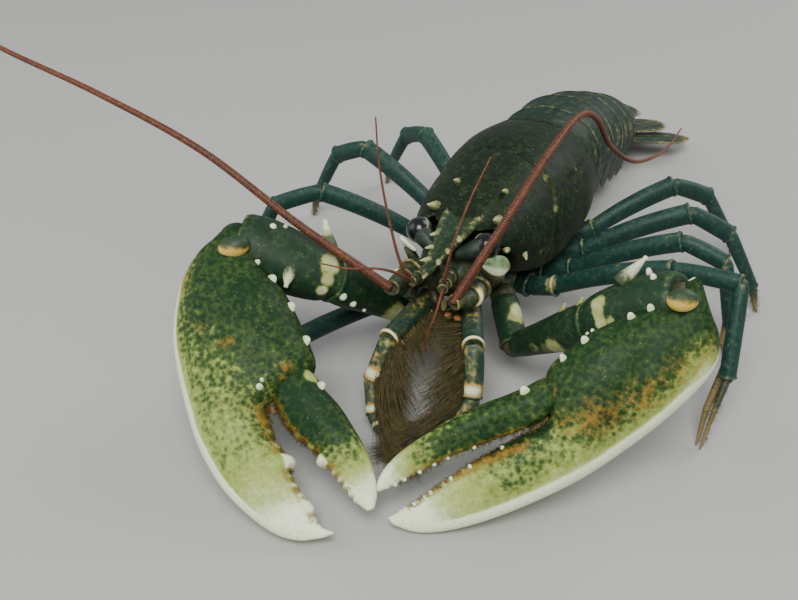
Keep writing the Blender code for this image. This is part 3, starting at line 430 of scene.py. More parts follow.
def circles(aim, sides):
    """For each aim a ring of directions square to it."""
    aim = unit(aim)
    helper = np.where(np.abs(aim[:, 2:]) < 0.8, [[0.0, 0, 1]], [[1.0, 0, 0]])
    first = unit(np.cross(aim, helper))
    angle = (np.arange(sides) / sides * 2 * np.pi)[:, None]
    return first[:, None] * np.cos(angle) + np.cross(aim, first)[:, None] * np.sin(angle)


def turned(roots, tips, radius, sides, levels, widths, shade, bend=0.0, stretch=(0, 0, 0)):
    """Round bodies, all worked out at once, each from its root to its tip. At each level, a share of the
    way, they have a share of their own radius and a shade. bend curves them sideways, and stretch draws
    them out along a direction."""
    roots, stretch = np.asarray(roots, float), np.array(stretch, float)
    aim = tips - roots
    radius = np.broadcast_to(np.asarray(radius, float), (len(roots),))
    middle = roots[:, None] + aim[:, None] * levels[:, None]
    middle = middle + np.broadcast_to(bend, roots.shape)[:, None] * (levels**2 * 0.5)[:, None]
    spread = circles(aim, sides)[:, None] * (radius[:, None] * widths)[:, :, None, None]
    points = middle[:, :, None] + spread + stretch * (spread @ stretch)[..., None]
    return [skin(places, fade=shade[:, None]) for places in points]


def thorns(roots, tips, radius, sides=10, bend=0.0, blunt=0.16):
    """Spines as cones with a rounded tip. Their shade rises from 0.25 at the root to 1 at the tip."""
    levels = np.array([0, 0.25, 0.5, 0.72, 0.88, 0.96, 1.0])
    widths = np.array([1.0, 0.86, 0.62, 0.40, 0.24, blunt, blunt * 0.45])
    return turned(roots, tips, radius, sides, levels, widths, 0.25 + 0.75 * levels, bend)


def domes(roots, tips, radius, columns=22, rows=13, shade=(0.2, 1.0), stretch=(0, 0, 0)):
    """Blunt knobs: half an ellipsoid on a short neck. shade is that of the root and of the tip."""
    rise = np.linspace(0, np.pi / 2, rows - 1)
    levels = np.append(0.0, 0.3 + 0.7 * np.sin(rise))
    widths = np.append(1.0, np.cos(rise * 0.97))
    tone = shade[0] + (shade[1] - shade[0]) * levels
    return turned(roots, tips, radius, columns, levels, widths, tone, stretch=stretch)


def spotted(mesh, spots):
    """Adds patches to a mesh's fade, each a place, a reach and a strength. Where patches overlap, the
    strongest one counts alone."""
    places = read_places(mesh)
    patch = np.zeros(len(places))
    for *centre, spot_reach, strength in spots:
        away = np.linalg.norm(places - centre, axis=1) / spot_reach
        spot = strength * (1 - smooth_step(0.62, 1.15, away))
        patch = np.where(np.abs(spot) > np.abs(patch), spot, patch)
    set_trait(mesh, "fade", read_fade(mesh) + patch)
    return mesh


beak_keys = [
    # along the body, half width, height of its middle line, depth
    (-25.5, 0.35, 55.0, 0.5), (-23.5, 1.1, 55.2, 1.2), (-20, 2.1, 55.9, 1.7), (-13, 3.6, 57.4, 2.4),
    (-6, 5.0, 58.8, 2.9), (2, 6.6, 60.0, 3.2), (10, 7.8, 61.0, 3.2), (20, 9.0, 62.6, 3.0),
    (30, 9.6, 63.6, 2.4),
]
along = np.linspace(-25.5, 30, 110)[:, None]
half, level, deep = np.split(curve_through(beak_keys, along[:, 0]), 3, axis=1)
x, z = ellipse_ring(ring_angles(48), half, deep * 0.75, deep, 1.5, 2.0)
hollow = bump_at(x / half, 0, 0.5) * (z > 0) * deep * 0.62 * smooth_step(-25, -16, along)
keel = bump_at(np.abs(x) / half, 0.84, 0.16) * (z > -0.2 * deep) * 0.9 * smooth_step(-24, -14, along)
sink = smooth_step(4, 30, along) * 2.6
beak = np.stack([x, along + 0 * x, z + level - hollow + keel + 0.6 - sink], -1)
fade = 0.10 + 0.45 * (1 - smooth_step(-25, -21, along)) + 0.22 * (keel > 0.3)
pieces = [skin(beak, fade=fade)]
both_sides = np.array([[-1.0, 1, 1], [1.0, 1, 1]])
for tooth_y, tooth_x, tooth_size in ((-18.4, 2.0, 1.25), (-12.2, 3.2, 1.45), (-5.4, 4.7, 1.6)):
    height = curve_through(np.array(beak_keys)[:, [0, 2]], np.array([tooth_y]))[0] + 1.0
    roots = np.array([tooth_x * 0.8, tooth_y + 2.2, height]) * both_sides
    tips = roots + np.array([2.2, -4.4, 1.5]) * both_sides
    pieces += thorns(roots, tips, tooth_size, bend=np.array([-1.0, 0, 0.4]) * both_sides)
for root, tip, size in (
    ((12.2, 15, 59.5), (12.8, 6.6, 64.8), 2.5), ((16.0, 12, 51.5), (18.6, 5.4, 53.6), 2.4),
    ((20.2, 19, 47.5), (23.6, 13.6, 47.0), 1.7), ((9.5, 27, 65.0), (9.6, 23, 67.6), 1.4),
):
    pieces += thorns(np.array(root) * both_sides, np.array(tip) * both_sides, size)
beak_shell = shell_finish(
    "beak shell", (0.008, 0.028, 0.014), (0.034, 0.056, 0.020), (0.38, 0.40, 0.16), (0.80, 0.86, 0.62),
    grain=420, relief=0.12, coat=0.04, gloss=0.2,
)
place_piece("rostrum_and_spines", pieces, beak_shell)

# The great claws
# Each palm runs out into a fixed finger, and the other finger hinges on the palm's inner side. The
# crusher is the animal's right one and has blunt molars, the cutter the left one with rows of fine teeth.


class ClawFrame:
    """Where a claw is: distances along its axis and across towards its inner margin are shares of its
    length, and heights over its face are millimetres."""

    def __init__(self, side, wrist, tip, facing):
        self.wrist, run = np.array(wrist, float), np.subtract(tip, wrist)
        self.length = np.linalg.norm(run)
        self.axis = run / self.length
        self.face = unit(facing - self.axis * np.dot(facing, self.axis))
        self.inward = np.cross(self.axis, self.face) * (-1 if side == "right" else 1)

    def place(self, along, across, over=0.0):
        """Places of the claw in the animal's frame."""
        along, across, over = (np.asarray(value, float)[..., None] for value in (along, across, over))
        return self.wrist + (self.axis * along + self.inward * across) * self.length + self.face * over


claw_frames = {
    "right": ClawFrame("right", (-69, -37, 58), (4, -101, 5.2), (0.10, -0.50, 0.86)),
    "left": ClawFrame("left", (86, -10, 62), (17, -87, 4.2), (0.355, -0.748, 0.561)),
}
# Margins and thicknesses are rows of (share along the claw, share of its length). A bump has a share
# along and a radius, the knob and each pad shares along and across and three half lengths, the knob also
# a turn in degrees. A tooth has a share along, a half width and a height. hairs and rim_start are shares
# along, rim_width, spread and ledge millimetres. A spot or stain has shares along and across, a reach
# and a strength. The movable finger pales from pale_from on, and ground is its shade before that.
crusher = {
    "outer": [
        (-0.03, 0.02), (0, 0.068), (0.02, 0.116), (0.07, 0.172), (0.12, 0.208), (0.237, 0.259),
        (0.35, 0.281), (0.525, 0.292), (0.63, 0.288), (0.757, 0.260), (0.864, 0.210), (0.946, 0.150),
        (0.985, 0.092), (1.0, 0.035),
    ],
    "inner": [
        (-0.03, 0.06), (0, 0.062), (0.07, 0.060), (0.147, 0.070), (0.232, 0.104), (0.353, 0.119),
        (0.444, 0.123), (0.50, 0.116), (0.525, 0.082), (0.55, 0.002), (0.575, -0.058), (0.607, -0.068),
        (0.662, -0.074), (0.708, -0.066), (0.757, -0.052), (0.79, -0.062), (0.84, -0.054), (0.907, -0.040),
        (0.965, -0.030), (1.0, 0.006),
    ],
    "thick": [
        (-0.03, 0.06), (0, 0.08), (0.1, 0.105), (0.3, 0.125), (0.5, 0.112), (0.62, 0.085), (0.8, 0.062),
        (0.93, 0.036), (1.0, 0.008),
    ],
    "finger_back": [
        (0.46, 0.060), (0.50, 0.092), (0.54, 0.108), (0.583, 0.118), (0.654, 0.144), (0.744, 0.162),
        (0.809, 0.171), (0.883, 0.168), (0.943, 0.154), (0.975, 0.134),
    ],
    "finger_bite": [
        (0.46, -0.005), (0.50, -0.034), (0.54, -0.038), (0.576, -0.034), (0.62, -0.029), (0.659, -0.020),
        (0.712, 0.004), (0.745, 0.026), (0.795, 0.045), (0.845, 0.062), (0.891, 0.078), (0.94, 0.092),
        (0.975, 0.112),
    ],
    "finger_thick": [(0.46, 0.05), (0.52, 0.072), (0.65, 0.072), (0.8, 0.055), (0.9, 0.036), (0.975, 0.010)],
    "bumps": [(0.118, 1.25), (0.197, 1.35), (0.308, 1.4), (0.430, 1.3)],
    "finger_bump": 0.585,
    "knob": (0.066, 0.010, 3.9, 5.7, 3.9, 0),
    "pads": [(0.572, -0.046, 3.6, 1.6, 1.1), (0.545, 0.06, 4.0, 5.0, 3.6)],
    "hairs": (0.57, 0.80),
    "palm_teeth": [
        (0.625, 1.1, 0.6), (0.655, 1.4, 0.8), (0.70, 1.8, 0.9), (0.755, 2.6, 2.2), (0.80, 1.1, 0.6),
        (0.832, 1.3, 0.8), (0.864, 1.2, 0.8), (0.902, 2.6, 1.5), (0.942, 1.0, 0.6), (0.965, 0.8, 0.4),
    ],
    "finger_teeth": [
        (0.655, 1.4, 0.6), (0.697, 1.6, 0.8), (0.742, 1.6, 0.9), (0.794, 1.9, 2.4), (0.840, 1.1, 0.8),
        (0.866, 1.0, 0.8), (0.890, 1.0, 0.8), (0.914, 0.9, 0.7), (0.936, 0.8, 0.5),
    ],
    "rim_width": 1.8, "rim_start": -0.02, "spread": 24, "ledge": 0.0, "pale_from": 0.77, "ground": 0.05,
    "spots": [(0.10, -0.06, 0.10, 0.04), (0.62, -0.16, 0.12, 0.12), (0.40, -0.20, 0.10, 0.10)],
    "stains": [
        (0.504, 0.040, 0.017, 0.9), (0.53, 0.02, 0.013, 0.7), (0.385, -0.085, 0.018, 0.55),
        (0.375, -0.115, 0.020, 0.60), (0.60, -0.10, 0.05, 0.30), (0.30, -0.16, 0.05, 0.35),
        (0.12, -0.18, 0.05, 0.40),
    ],
}


def fine_teeth(first, half_width, tall):
    """The cutter's even row of teeth. Every fourth is larger, and tall is the first of those."""
    larger = [k % 4 == tall for k in range(27)]
    return [(first + 0.0155 * k, half_width + 0.16 * big, 0.36 + 0.3 * big) for k, big in enumerate(larger)]


cutter = {
    "outer": [
        (-0.05, -0.01), (-0.02, 0.080), (-0.006, 0.130), (0.045, 0.184), (0.139, 0.211), (0.262, 0.223),
        (0.417, 0.223), (0.542, 0.213), (0.665, 0.190), (0.794, 0.155), (0.895, 0.114), (0.964, 0.068),
        (1.0, 0.018),
    ],
    "inner": [
        (-0.05, 0.04), (-0.02, 0.042), (0.04, 0.036), (0.096, 0.049), (0.16, 0.064), (0.27, 0.085),
        (0.361, 0.083), (0.42, 0.068), (0.455, 0.030), (0.49, -0.028), (0.53, -0.036), (0.6, -0.026),
        (0.658, -0.018), (0.739, -0.009), (0.802, -0.005), (0.867, -0.003), (0.927, -0.001), (0.975, 0.004),
        (1.0, 0.008),
    ],
    "thick": [
        (-0.05, 0.05), (-0.02, 0.065), (0.1, 0.088), (0.25, 0.098), (0.45, 0.086), (0.6, 0.062), (0.8, 0.045),
        (0.93, 0.028), (1.0, 0.008),
    ],
    "finger_back": [
        (0.40, 0.045), (0.44, 0.062), (0.48, 0.069), (0.514, 0.076), (0.56, 0.088), (0.609, 0.102),
        (0.688, 0.119), (0.782, 0.128), (0.871, 0.130), (0.93, 0.120), (0.965, 0.104), (0.98, 0.090),
    ],
    "finger_bite": [
        (0.40, -0.010), (0.44, -0.020), (0.48, -0.026), (0.521, -0.026), (0.581, -0.010), (0.669, 0.016),
        (0.733, 0.034), (0.799, 0.049), (0.869, 0.060), (0.92, 0.069), (0.965, 0.075), (0.98, 0.080),
    ],
    "finger_thick": [(0.40, 0.04), (0.46, 0.058), (0.6, 0.055), (0.8, 0.042), (0.9, 0.030), (0.98, 0.008)],
    "bumps": [(0.102, 0.95), (0.158, 0.95), (0.295, 1.0), (0.37, 0.85)],
    "finger_bump": 0.505,
    "knob": (0.028, 0.020, 3.7, 5.0, 3.4, 54),
    "pads": [(0.520, -0.036, 4.6, 1.7, 1.0), (0.448, 0.038, 3.2, 3.2, 3.4)],
    "hairs": (0.50, 0.93),
    "palm_teeth": fine_teeth(0.56, 0.66, 1),
    "finger_teeth": fine_teeth(0.55, 0.64, 3),
    "rim_width": 3.0, "rim_start": 0.0, "spread": 14, "ledge": 2.6, "pale_from": 0.80, "ground": 0.15,
    "spots": [
        (0.50, -0.12, 0.12, 0.16), (0.06, -0.15, 0.045, 0.34), (0.14, -0.17, 0.05, 0.26),
        (0.24, -0.12, 0.06, 0.12),
    ],
    "stains": [
        (0.455, 0.030, 0.020, 0.9), (0.26, -0.13, 0.06, 0.55), (0.38, -0.10, 0.06, 0.60),
        (0.46, -0.07, 0.05, 0.45), (0.15, -0.12, 0.05, 0.50), (0.06, -0.12, 0.04, 0.32),
    ],
}


def claw_skin(claw, low_keys, high_keys, thick_keys, rows, columns, shade, teeth, palm):
    """A claw's palm or finger. Each row is a super-ellipse between its outer and its inner margin. A
    shallow trough runs inside the outer margin, and the face swells and sinks a little. Blunt teeth
    bulge from the biting margin: the high one of a palm, the low one of a finger. shade gives the fade
    and the rusty stain from the place along, across and over, the distances in millimetres to both
    margins and how much of a tooth's crown the place is."""
    first, last = thick_keys[0][0], thick_keys[-1][0]
    share = np.linspace(0, 1, rows)[:, None]
    along = first + (last - first) * (0.75 * share + 0.25 * (0.5 - 0.5 * np.cos(np.pi * share)))
    low = (-1 if palm else 1) * curve_through(low_keys, along[:, 0])[:, None]
    high = np.maximum(curve_through(high_keys, along[:, 0])[:, None], low + 0.004)
    tooth_at, tooth_half, tooth_high = np.array(teeth).T
    bulge = np.exp(-np.abs((along - tooth_at) * claw.length / tooth_half) ** 2.6)
    tooth = (tooth_high * bulge).sum(1)[:, None]
    if palm:
        high = high + tooth / claw.length
    else:
        low = low - tooth / claw.length
    thick = curve_through(thick_keys, along[:, 0])[:, None] * claw.length
    half = (high - low) / 2
    x, z = ellipse_ring(ring_angles(columns), half, thick, thick, 2.25, 2.25)
    from_low, from_high = (x + half) * claw.length, (half - x) * claw.length
    trough = bump_at(from_low, 5.2, 2.0) * 0.055 * smooth_step(0.02, 0.2, along)
    trough = trough * (1 - smooth_step(0.8, 0.98, along))
    wave = 0.030 * np.sin(along * 19 + x * 30) * (1 - (np.abs(x) / half) ** 2)
    z = z * (1 - trough + wave + 0.018 * np.sin(along * 43 + 1.7) * np.sin(x * 70))
    across = (low + high) / 2 + x
    crown = 1 - smooth_step(0.9, 2.4, (from_high if palm else from_low) - np.maximum(tooth - 1.0, 0))
    crown = crown * smooth_step(0.35, 1.5, tooth)
    fade, warm = shade(along, across, z, from_low, from_high, crown)
    return skin(claw.place(along + 0 * x, across, z), fade=fade, warm=warm)


def marks(along, across, spots):
    """The sum of soft spots on a claw."""
    total = 0.0
    for u, v, size, power in spots:
        total = total + power * np.exp(-((along - u) ** 2 + (across - v) ** 2) / size**2)
    return total


def plain_finish(name, colour, other, grain, roughness, relief, coat):
    """A surface of two shades in soft blotches, for horny, hairy and soft parts."""
    finish, tree, shader = new_paint(name)
    spot = noise_node(tree, tree.nodes.new("ShaderNodeTexCoord").outputs["Object"], grain, 4)
    shade = colour_mix(tree, step_node(tree, spot, 0.38, 0.62), (*colour, 1), (*other, 1))
    tree.links.new(shade, shader["Base Color"])
    raise_surface(tree, shader, spot, relief, 0.0005)
    for socket, number in (("Roughness", roughness), ("Coat Weight", coat), ("Coat Roughness", 0.2)):
        shader[socket].default_value = number
    return finish


def bristles(roots, tips, bend, radius):
    """Stiff hairs in one mesh: each is a three-sided cone of three lengths from its root to its tip,
    bent in the middle, and all of them are worked out at once. Roots and tips come in batches."""
    roots, tips = np.concatenate(roots), np.concatenate(tips)
    levels = np.array([0.0, 0.4, 0.75, 1.0])
    widths = radius * np.array([1.0, 0.75, 0.45, 0.12])
    aim = tips - roots
    middle = roots[:, None] + aim[:, None] * levels[:, None]
    middle = middle + np.array(bend) * (4 * levels * (1 - levels))[:, None]
    points = middle[:, :, None] + circles(aim, 3)[:, None] * widths[:, None, None]
    index = np.arange(len(roots) * 12).reshape(-1, 4, 3)
    beside = np.roll(index, -1, axis=2)
    quads = np.stack([index[:, :-1], beside[:, :-1], beside[:, 1:], index[:, 1:]], -1).reshape(-1, 4)
    ends = np.concatenate([index[:, 0, ::-1], index[:, 3]])
    return new_mesh(points.reshape(-1, 3), quads.tolist() + ends.tolist())


def egg(centre, ways, reaches, rows, columns):
    """Places over an ellipsoid with three directions and half lengths. Its poles lie on the first."""
    tilt = np.radians(np.linspace(2, 178, rows))[:, None, None]
    angle = (np.arange(columns) / columns * 2 * np.pi)[None, :, None]
    swell = (np.cos(tilt) + 0 * angle, np.sin(tilt) * np.cos(angle), np.sin(tilt) * np.sin(angle))
    return centre + sum(way * part * reach for way, part, reach in zip(ways, swell, reaches))


hair_brown = plain_finish("bristle brown", (0.060, 0.050, 0.016), (0.15, 0.12, 0.040), 300, 0.7, 0.0, 0.0)
random = np.random.default_rng(4)
hinge_skin = plain_finish("hinge skin", (0.085, 0.048, 0.012), (0.20, 0.115, 0.028), 520, 0.65, 0.5, 0.05)
claw_shell = shell_finish(
    "claw shell", (0.009, 0.034, 0.011), (0.040, 0.078, 0.019), (0.34, 0.42, 0.10), (0.88, 0.95, 0.66),
    grain=470, relief=0.16, coat=0.02, gloss=0.12,
)
bead_enamel = shell_finish(
    "bead enamel", (0.06, 0.09, 0.04), (0.34, 0.38, 0.20), (0.66, 0.74, 0.46), (0.80, 0.88, 0.62),
    grain=600, relief=0.0,
)
knob_shell = shell_finish(
    "knob shell", (0.020, 0.045, 0.018), (0.13, 0.12, 0.03), (0.60, 0.40, 0.07), (0.74, 0.53, 0.12),
    grain=380, relief=0.05,
)


def palm_shade(shape, along, across, over, outer, inner, crown):
    """A white rim on the outer margin, a straw band inside it that widens towards the tip, and mottled
    dark shell over the rest. Rust runs along the biting edge, where ledge is the width of the dark face
    between the rust and the edge near the hinge."""
    rim_width, rim_start, ledge = shape["rim_width"], shape["rim_start"], shape["ledge"]
    rim_wide = rim_width * (0.3 + 0.7 * smooth_step(rim_start, rim_start + 0.20, along))
    rim = 1 - smooth_step(rim_wide * 0.9, rim_wide * 2.1, outer)
    rim = rim * smooth_step(rim_start, rim_start + 0.05, along)
    band_wide = 6 + shape["spread"] * smooth_step(0.10, 0.70, along)
    band = 0.36 * bump_at(outer, 0, band_wide) * smooth_step(-0.02, 0.30, along)
    tip = 0.82 * smooth_step(0.52, 0.92, along) + 0.66 * smooth_step(0.84, 0.97, along)
    glow = 0.80 * bump_at(outer, 0, rim_width * 2.9) * smooth_step(0.0, 0.10, along)
    pale = np.maximum(np.maximum(rim * 1.6, tip), np.maximum(band, glow))
    ground = 0.07 + 0.08 * smooth_step(0.2, 0.6, along) + marks(along, across, shape["spots"])
    rust_line = ledge * (1 - smooth_step(0.56, 0.86, along))
    dark_face = smooth_step(0.3, 1.1, rust_line - inner) * smooth_step(0.48, 0.52, along)
    fade = (ground + pale + 0.9 * crown) * (1 - 0.8 * dark_face)
    bite = 1 - smooth_step(0.6, 4.2 - 0.7 * ledge, np.abs(inner - rust_line))
    bite = bite * smooth_step(0.54, 0.62, along) * smooth_step(-4, 1, over)
    bite = bite * (1 - smooth_step(0.93, 0.98, along))
    heel = (1 - smooth_step(0.5, 1.8, np.abs(outer - rim_width * 2))) * smooth_step(-0.03, 0.02, along)
    heel = heel * (1 - smooth_step(0.12, 0.3, along))
    warm = 0.85 * bite * (1 - 0.95 * crown) + marks(along, across, shape["stains"]) + 0.3 * heel
    return fade, np.clip(warm, 0, 0.9) * (1 - rim)


def finger_tint(shape, along, bite_side, back_side, crown):
    """The movable finger: dark for most of its length, a tan flush, then a cream tip, and rust along the
    biting edge."""
    start = shape["pale_from"]
    tip = 0.80 * smooth_step(start - 0.06, start + 0.14, along)
    tip = tip + 0.62 * smooth_step(start + 0.08, start + 0.20, along)
    edge = (1 - smooth_step(0.5, 3.0, bite_side)) * smooth_step(0.52, 0.60, along)
    ridge = (1 - smooth_step(0.6, 2.6, back_side)) * smooth_step(0.6, 0.75, along)
    fade = shape["ground"] + tip + 0.16 * ridge + 0.25 * edge + 1.1 * crown
    warm = 0.85 * edge * (1 - smooth_step(0.90, 0.97, along)) + 0.22 * bump_at(along, start + 0.05, 0.05)
    return fade, np.clip(warm * (1 - 0.95 * crown), 0, 0.9)


for side, shape in (("right", crusher), ("left", cutter)):
    claw = claw_frames[side]
    palm = claw_skin(
        claw, shape["outer"], shape["inner"], shape["thick"], 420, 120,
        lambda *place: palm_shade(shape, *place), shape["palm_teeth"], True,
    )
    finger = claw_skin(
        claw, shape["finger_bite"], shape["finger_back"], shape["finger_thick"], 300, 80,
        lambda along, across, over, *rest: finger_tint(shape, along, *rest), shape["finger_teeth"], False,
    )
    if side == "right":
        # Two pearls sit on the face beside the hinge, and the finger's own hinge knob is pale
        pearl_roots = [(-32.5, -80.5, 36.5), (-32.6, -78.8, 38.0)]
        pearl_tips = [(-32.5, -81.9, 38.4), (-32.6, -79.6, 39.6)]
        pearls = domes(pearl_roots, pearl_tips, (1.15, 0.75), shade=(0.3, 1.4))
        place_piece("pearls_right", pearls, bead_enamel)
        spotted(finger, [(-20.7, -67.8, 36.3, 3.2, 0.75)])
    else:
        # Small round teeth stand out from both rows of the cutter, and its palm's heel has two pale spots
        tooth_roots, tooth_tips = [], []
        for edge, way, share in (
            ("finger_bite", -1, [0.70, 0.775, 0.813, 0.857, 0.902, 0.93]),
            ("inner", 1, [0.64, 0.74, 0.80, 0.866, 0.92]),
        ):
            margin = curve_through(shape[edge], share)
            tooth_roots.append(claw.place(share, margin - 0.006 * way, 2.2))
            tooth_tips.append(claw.place(share, margin + (0.006 if way > 0 else -0.005), 2.8))
        tooth_roots, tooth_tips = np.concatenate(tooth_roots), np.concatenate(tooth_tips)
        small_teeth = domes(tooth_roots, tooth_tips, 0.75, 14, 8, (0.5, 1.4))
        place_piece("round_teeth_left", small_teeth, bead_enamel)
        spotted(palm, [(86, -6.3, 68.3, 2.0, 1.5), (91.5, -5.5, 63.0, 2.2, 1.4)])
    place_piece(f"palm_{side}", palm, claw_shell, [f"claw_palm_{side}"])
    place_piece(f"finger_{side}", finger, claw_shell, [f"claw_finger_{side}"])
    pads = []
    for along, across, *reaches in shape["pads"]:
        ways = (claw.axis, claw.inward, claw.face)
        pads.append(skin(egg(claw.place(along, across, 0.6), ways, reaches, 26, 30)))
    place_piece(f"finger_hinge_{side}", pads, hinge_skin)
    # Short brown bristles line both biting edges, thickest near the hinge
    hair_roots, hair_tips, count = [], [], 420
    hair_first, hair_last = shape["hairs"]
    for keys, way in ((shape["inner"], 1), (shape["finger_bite"], -1)):
        share = hair_first + (hair_last - hair_first) * random.random(count) ** 1.4
        over = random.normal(0.6, 1.3, count)
        roots = claw.place(share, curve_through(keys, share), over) - claw.inward * way * 0.5
        lean = random.normal(0, 0.35, (count, 1)) * claw.axis
        lean = lean + random.normal(0.25, 0.35, (count, 1)) * claw.face
        long = 1.1 + 1.0 * random.random((count, 1))
        hair_roots.append(roots)
        hair_tips.append(roots + (claw.inward * way + lean + claw.axis * 0.35) * long)
    hairs = bristles(hair_roots, hair_tips, (0, 0, 0), 0.10)
    place_piece(f"claw_bristles_{side}", hairs, hair_brown)
    bump_places, bump_sizes = np.array(shape["bumps"] + [(shape["finger_bump"], 1.15)]).T
    margin = np.append(
        curve_through(shape["inner"], bump_places[:-1]), curve_through(shape["finger_back"], bump_places[-1:])
    )
    roots = claw.place(bump_places, margin - 0.026, 3.2)
    tips = claw.place(bump_places - 0.004, margin + 0.008, 4.8)
    beads = domes(roots, tips, bump_sizes, shade=(0.1, 1.25), stretch=claw.axis * 0.75)
    place_piece(f"beads_{side}", beads, bead_enamel)
    # The knob on which the claw turns is wider than long and yellow towards the fingers, and painted shade
    # darkens its top
    along, across, *reaches, turn = shape["knob"]
    turn = math.radians(turn)
    wide_way = claw.inward * math.cos(turn) + claw.axis * math.sin(turn)
    long_way = claw.axis * math.cos(turn) - claw.inward * math.sin(turn)
    middle = claw.place(along, across, 0.085 * claw.length)
    knob = egg(middle, (long_way, wide_way, claw.face), reaches, 40, 48)
    lower = -knob[..., 2] + middle[2] - 0.25 * (knob[..., 1] - middle[1])
    # Painted shade: the fade is lowest on the knob's top and rises to its yellow lower part
    knob_tone_and_shade = -0.15 + 1.15 * smooth_step(-2.4, 1.0, lower)
    place_piece(f"knob_{side}", skin(knob, fade=knob_tone_and_shade), knob_shell)

# The eyes
# Each is a glossy black cornea of tiny facets, set in the shell cup that ends a short movable stalk. The
# cup has a pale edge, and the stalks meet under the beak.
up_way = (0, 0, 1)


def tube(middle, wide, high, guide, columns, power=(2.0, 2.0), tint=None, **traits):
    """A closed body along a path: at each place a super-ellipse square to the path, reaching high
    towards the guide direction and away from it, and wide to both sides. tint may give the traits from
    the place across and along the guide, as shares of those reaches."""
    middle = np.asarray(middle, float)
    aim = unit(np.gradient(middle, axis=0))
    guide = np.broadcast_to(np.asarray(guide, float), middle.shape)
    up = unit(guide - aim * np.sum(guide * aim, 1, keepdims=True))
    wide, high = (np.broadcast_to(np.array(girth, float), len(middle))[:, None] for girth in (wide, high))
    x, z = ellipse_ring(ring_angles(columns), wide, high, high, *power)
    points = middle[:, None] + np.cross(aim, up)[:, None] * x[..., None] + up[:, None] * z[..., None]
    return skin(points, **(tint(x / wide, z / high) if tint else traits))


def globe(centre, axis, radius, first=0, last=180, rows=24, columns=40, fade=0.0):
    """The part of a ball between two angles from its axis, in degrees."""
    axis = unit(np.array(axis, float))
    tilt = np.radians(np.linspace(max(first, 1.5), min(last, 178.5), rows))[:, None, None]
    ring = circles(axis[None], columns)
    points = np.array(centre, float) + radius * (axis * np.cos(tilt) + ring * np.sin(tilt))
    return skin(points, fade=fade)


cornea, tree, shader = new_paint("cornea")
facets = cell_node(tree, tree.nodes.new("ShaderNodeTexCoord").outputs["Object"], 3200, "SMOOTH_F1")
raise_surface(tree, shader, facets, 0.10, 0.0001)
for socket, number in (
    ("Base Color", (0.004, 0.006, 0.007, 1)), ("Roughness", 0.24), ("Specular IOR Level", 0.35),
    ("Coat Weight", 0.3), ("Coat Roughness", 0.06),
):
    shader[socket].default_value = number
eye_shell = shell_finish(
    "eye stalk shell", (0.007, 0.020, 0.013), (0.028, 0.042, 0.020), (0.30, 0.30, 0.14), (0.62, 0.62, 0.42),
    grain=500, relief=0.06,
)
stalk_keys = [
    # share of the stalk, place and radius
    (0, 3.4, -4.8, 54.4, 2.4), (0.4, 6.4, -4.0, 55.4, 2.7), (0.75, 9.0, -2.8, 56.3, 3.4),
    (1, 11.2, -1.2, 57.1, 3.9),
]
for side, hand, outlook in (("left", 1, (0.60, -0.42, 0.66)), ("right", -1, (-0.70, -0.58, 0.42))):
    centre = (hand * 13, 0, 57.6)
    ball = globe(centre, outlook, 4.75, 0, 104, 40, 56)
    place_piece(f"cornea_{side}", ball, cornea, [f"eye_{side}"])
    stalk = curve_through(stalk_keys, np.linspace(0, 1, 24))
    cup = globe(centre, outlook, 4.92, 96, 178, 24, 56, 0.9 * np.linspace(1, 0, 24)[:, None] ** 9)
    path, girth = stalk[:, :3] * (hand, 1, 1), stalk[:, 3]
    stem = tube(path, girth, girth, up_way, 28, fade=0.05)
    place_piece(f"eye_stalk_{side}", [cup, stem], eye_shell)

# The front of the head and the mouth
# Under the beak the shell forms a grooved plate in front of the mouth. Two dark jaws close the mouth,
# with three pairs of short limbs folded over them, two orange horny tips and a small pale lobe.


def body_rings(keys, rows, columns, power, change, shade):
    """A body along the animal: super-ellipse rings from rows of (place along it, half width, top, low).
    change moves each place outward by millimetres and shade gives its fade, both from the place."""
    along = np.linspace(keys[0][0], keys[-1][0], rows)[:, None]
    half, top, low = np.split(curve_through(keys, along[:, 0]), 3, axis=1)
    deep = (top - low) / 2
    x, z = ellipse_ring(ring_angles(columns), half, deep, deep, power, power)
    points = np.stack([x, along + 0 * x, z + (top + low) / 2], -1)
    outward = unit(np.stack([x / half, 0 * x, z / deep], -1))
    points = points + outward * change(points)[..., None]
    return skin(points, fade=shade(points))


def head_relief(place):
    """Grooves between the bases of the feelers, a keel down the middle and ridges round the mouth."""
    x, y, z = place[..., 0], place[..., 1], place[..., 2]
    valleys = -bump_at(np.abs(x), 4.6, 1.3) * 0.9 - bump_at(z, 44 - 0.1 * np.abs(x), 0.9) * 0.7
    folds = 0.35 * np.sin(y * 1.5 + np.abs(x) * 0.4) * bump_at(z, 37, 5)
    return bump_at(x, 0, 1.1) + valleys + folds - 0.6


def head_shade(place):
    """Dark above, a paler plate with orange edges near the mouth."""
    across, z = np.abs(place[..., 0]), place[..., 2]
    mouth = bump_at(z, 37.0, 3.4) * bump_at(across, 5.0, 3.4) * 0.75
    return 0.12 + mouth + 0.4 * bump_at(z, 44, 0.8) * bump_at(across, 8, 3.5)


head_keys = [(-9, 7, 51, 40), (-5, 10.5, 52.3, 36), (1, 13.5, 53, 33), (8, 15.5, 52, 31), (16, 15.5, 45, 29)]
head_shell = shell_finish(
    "head shell", (0.012, 0.030, 0.016), (0.050, 0.060, 0.026), (0.38, 0.20, 0.055), (0.62, 0.58, 0.34),
    grain=420, relief=0.14,
)
head = body_rings(head_keys, 90, 120, 2.6, head_relief, head_shade)
place_piece("head_front", head, head_shell, ["head"])


def plain_shade(share, near, far, angle):
    """Dark, with a paler rim at the far end."""
    return 0.06 + 0.34 * bump_at(far, 0.15, 0.3)


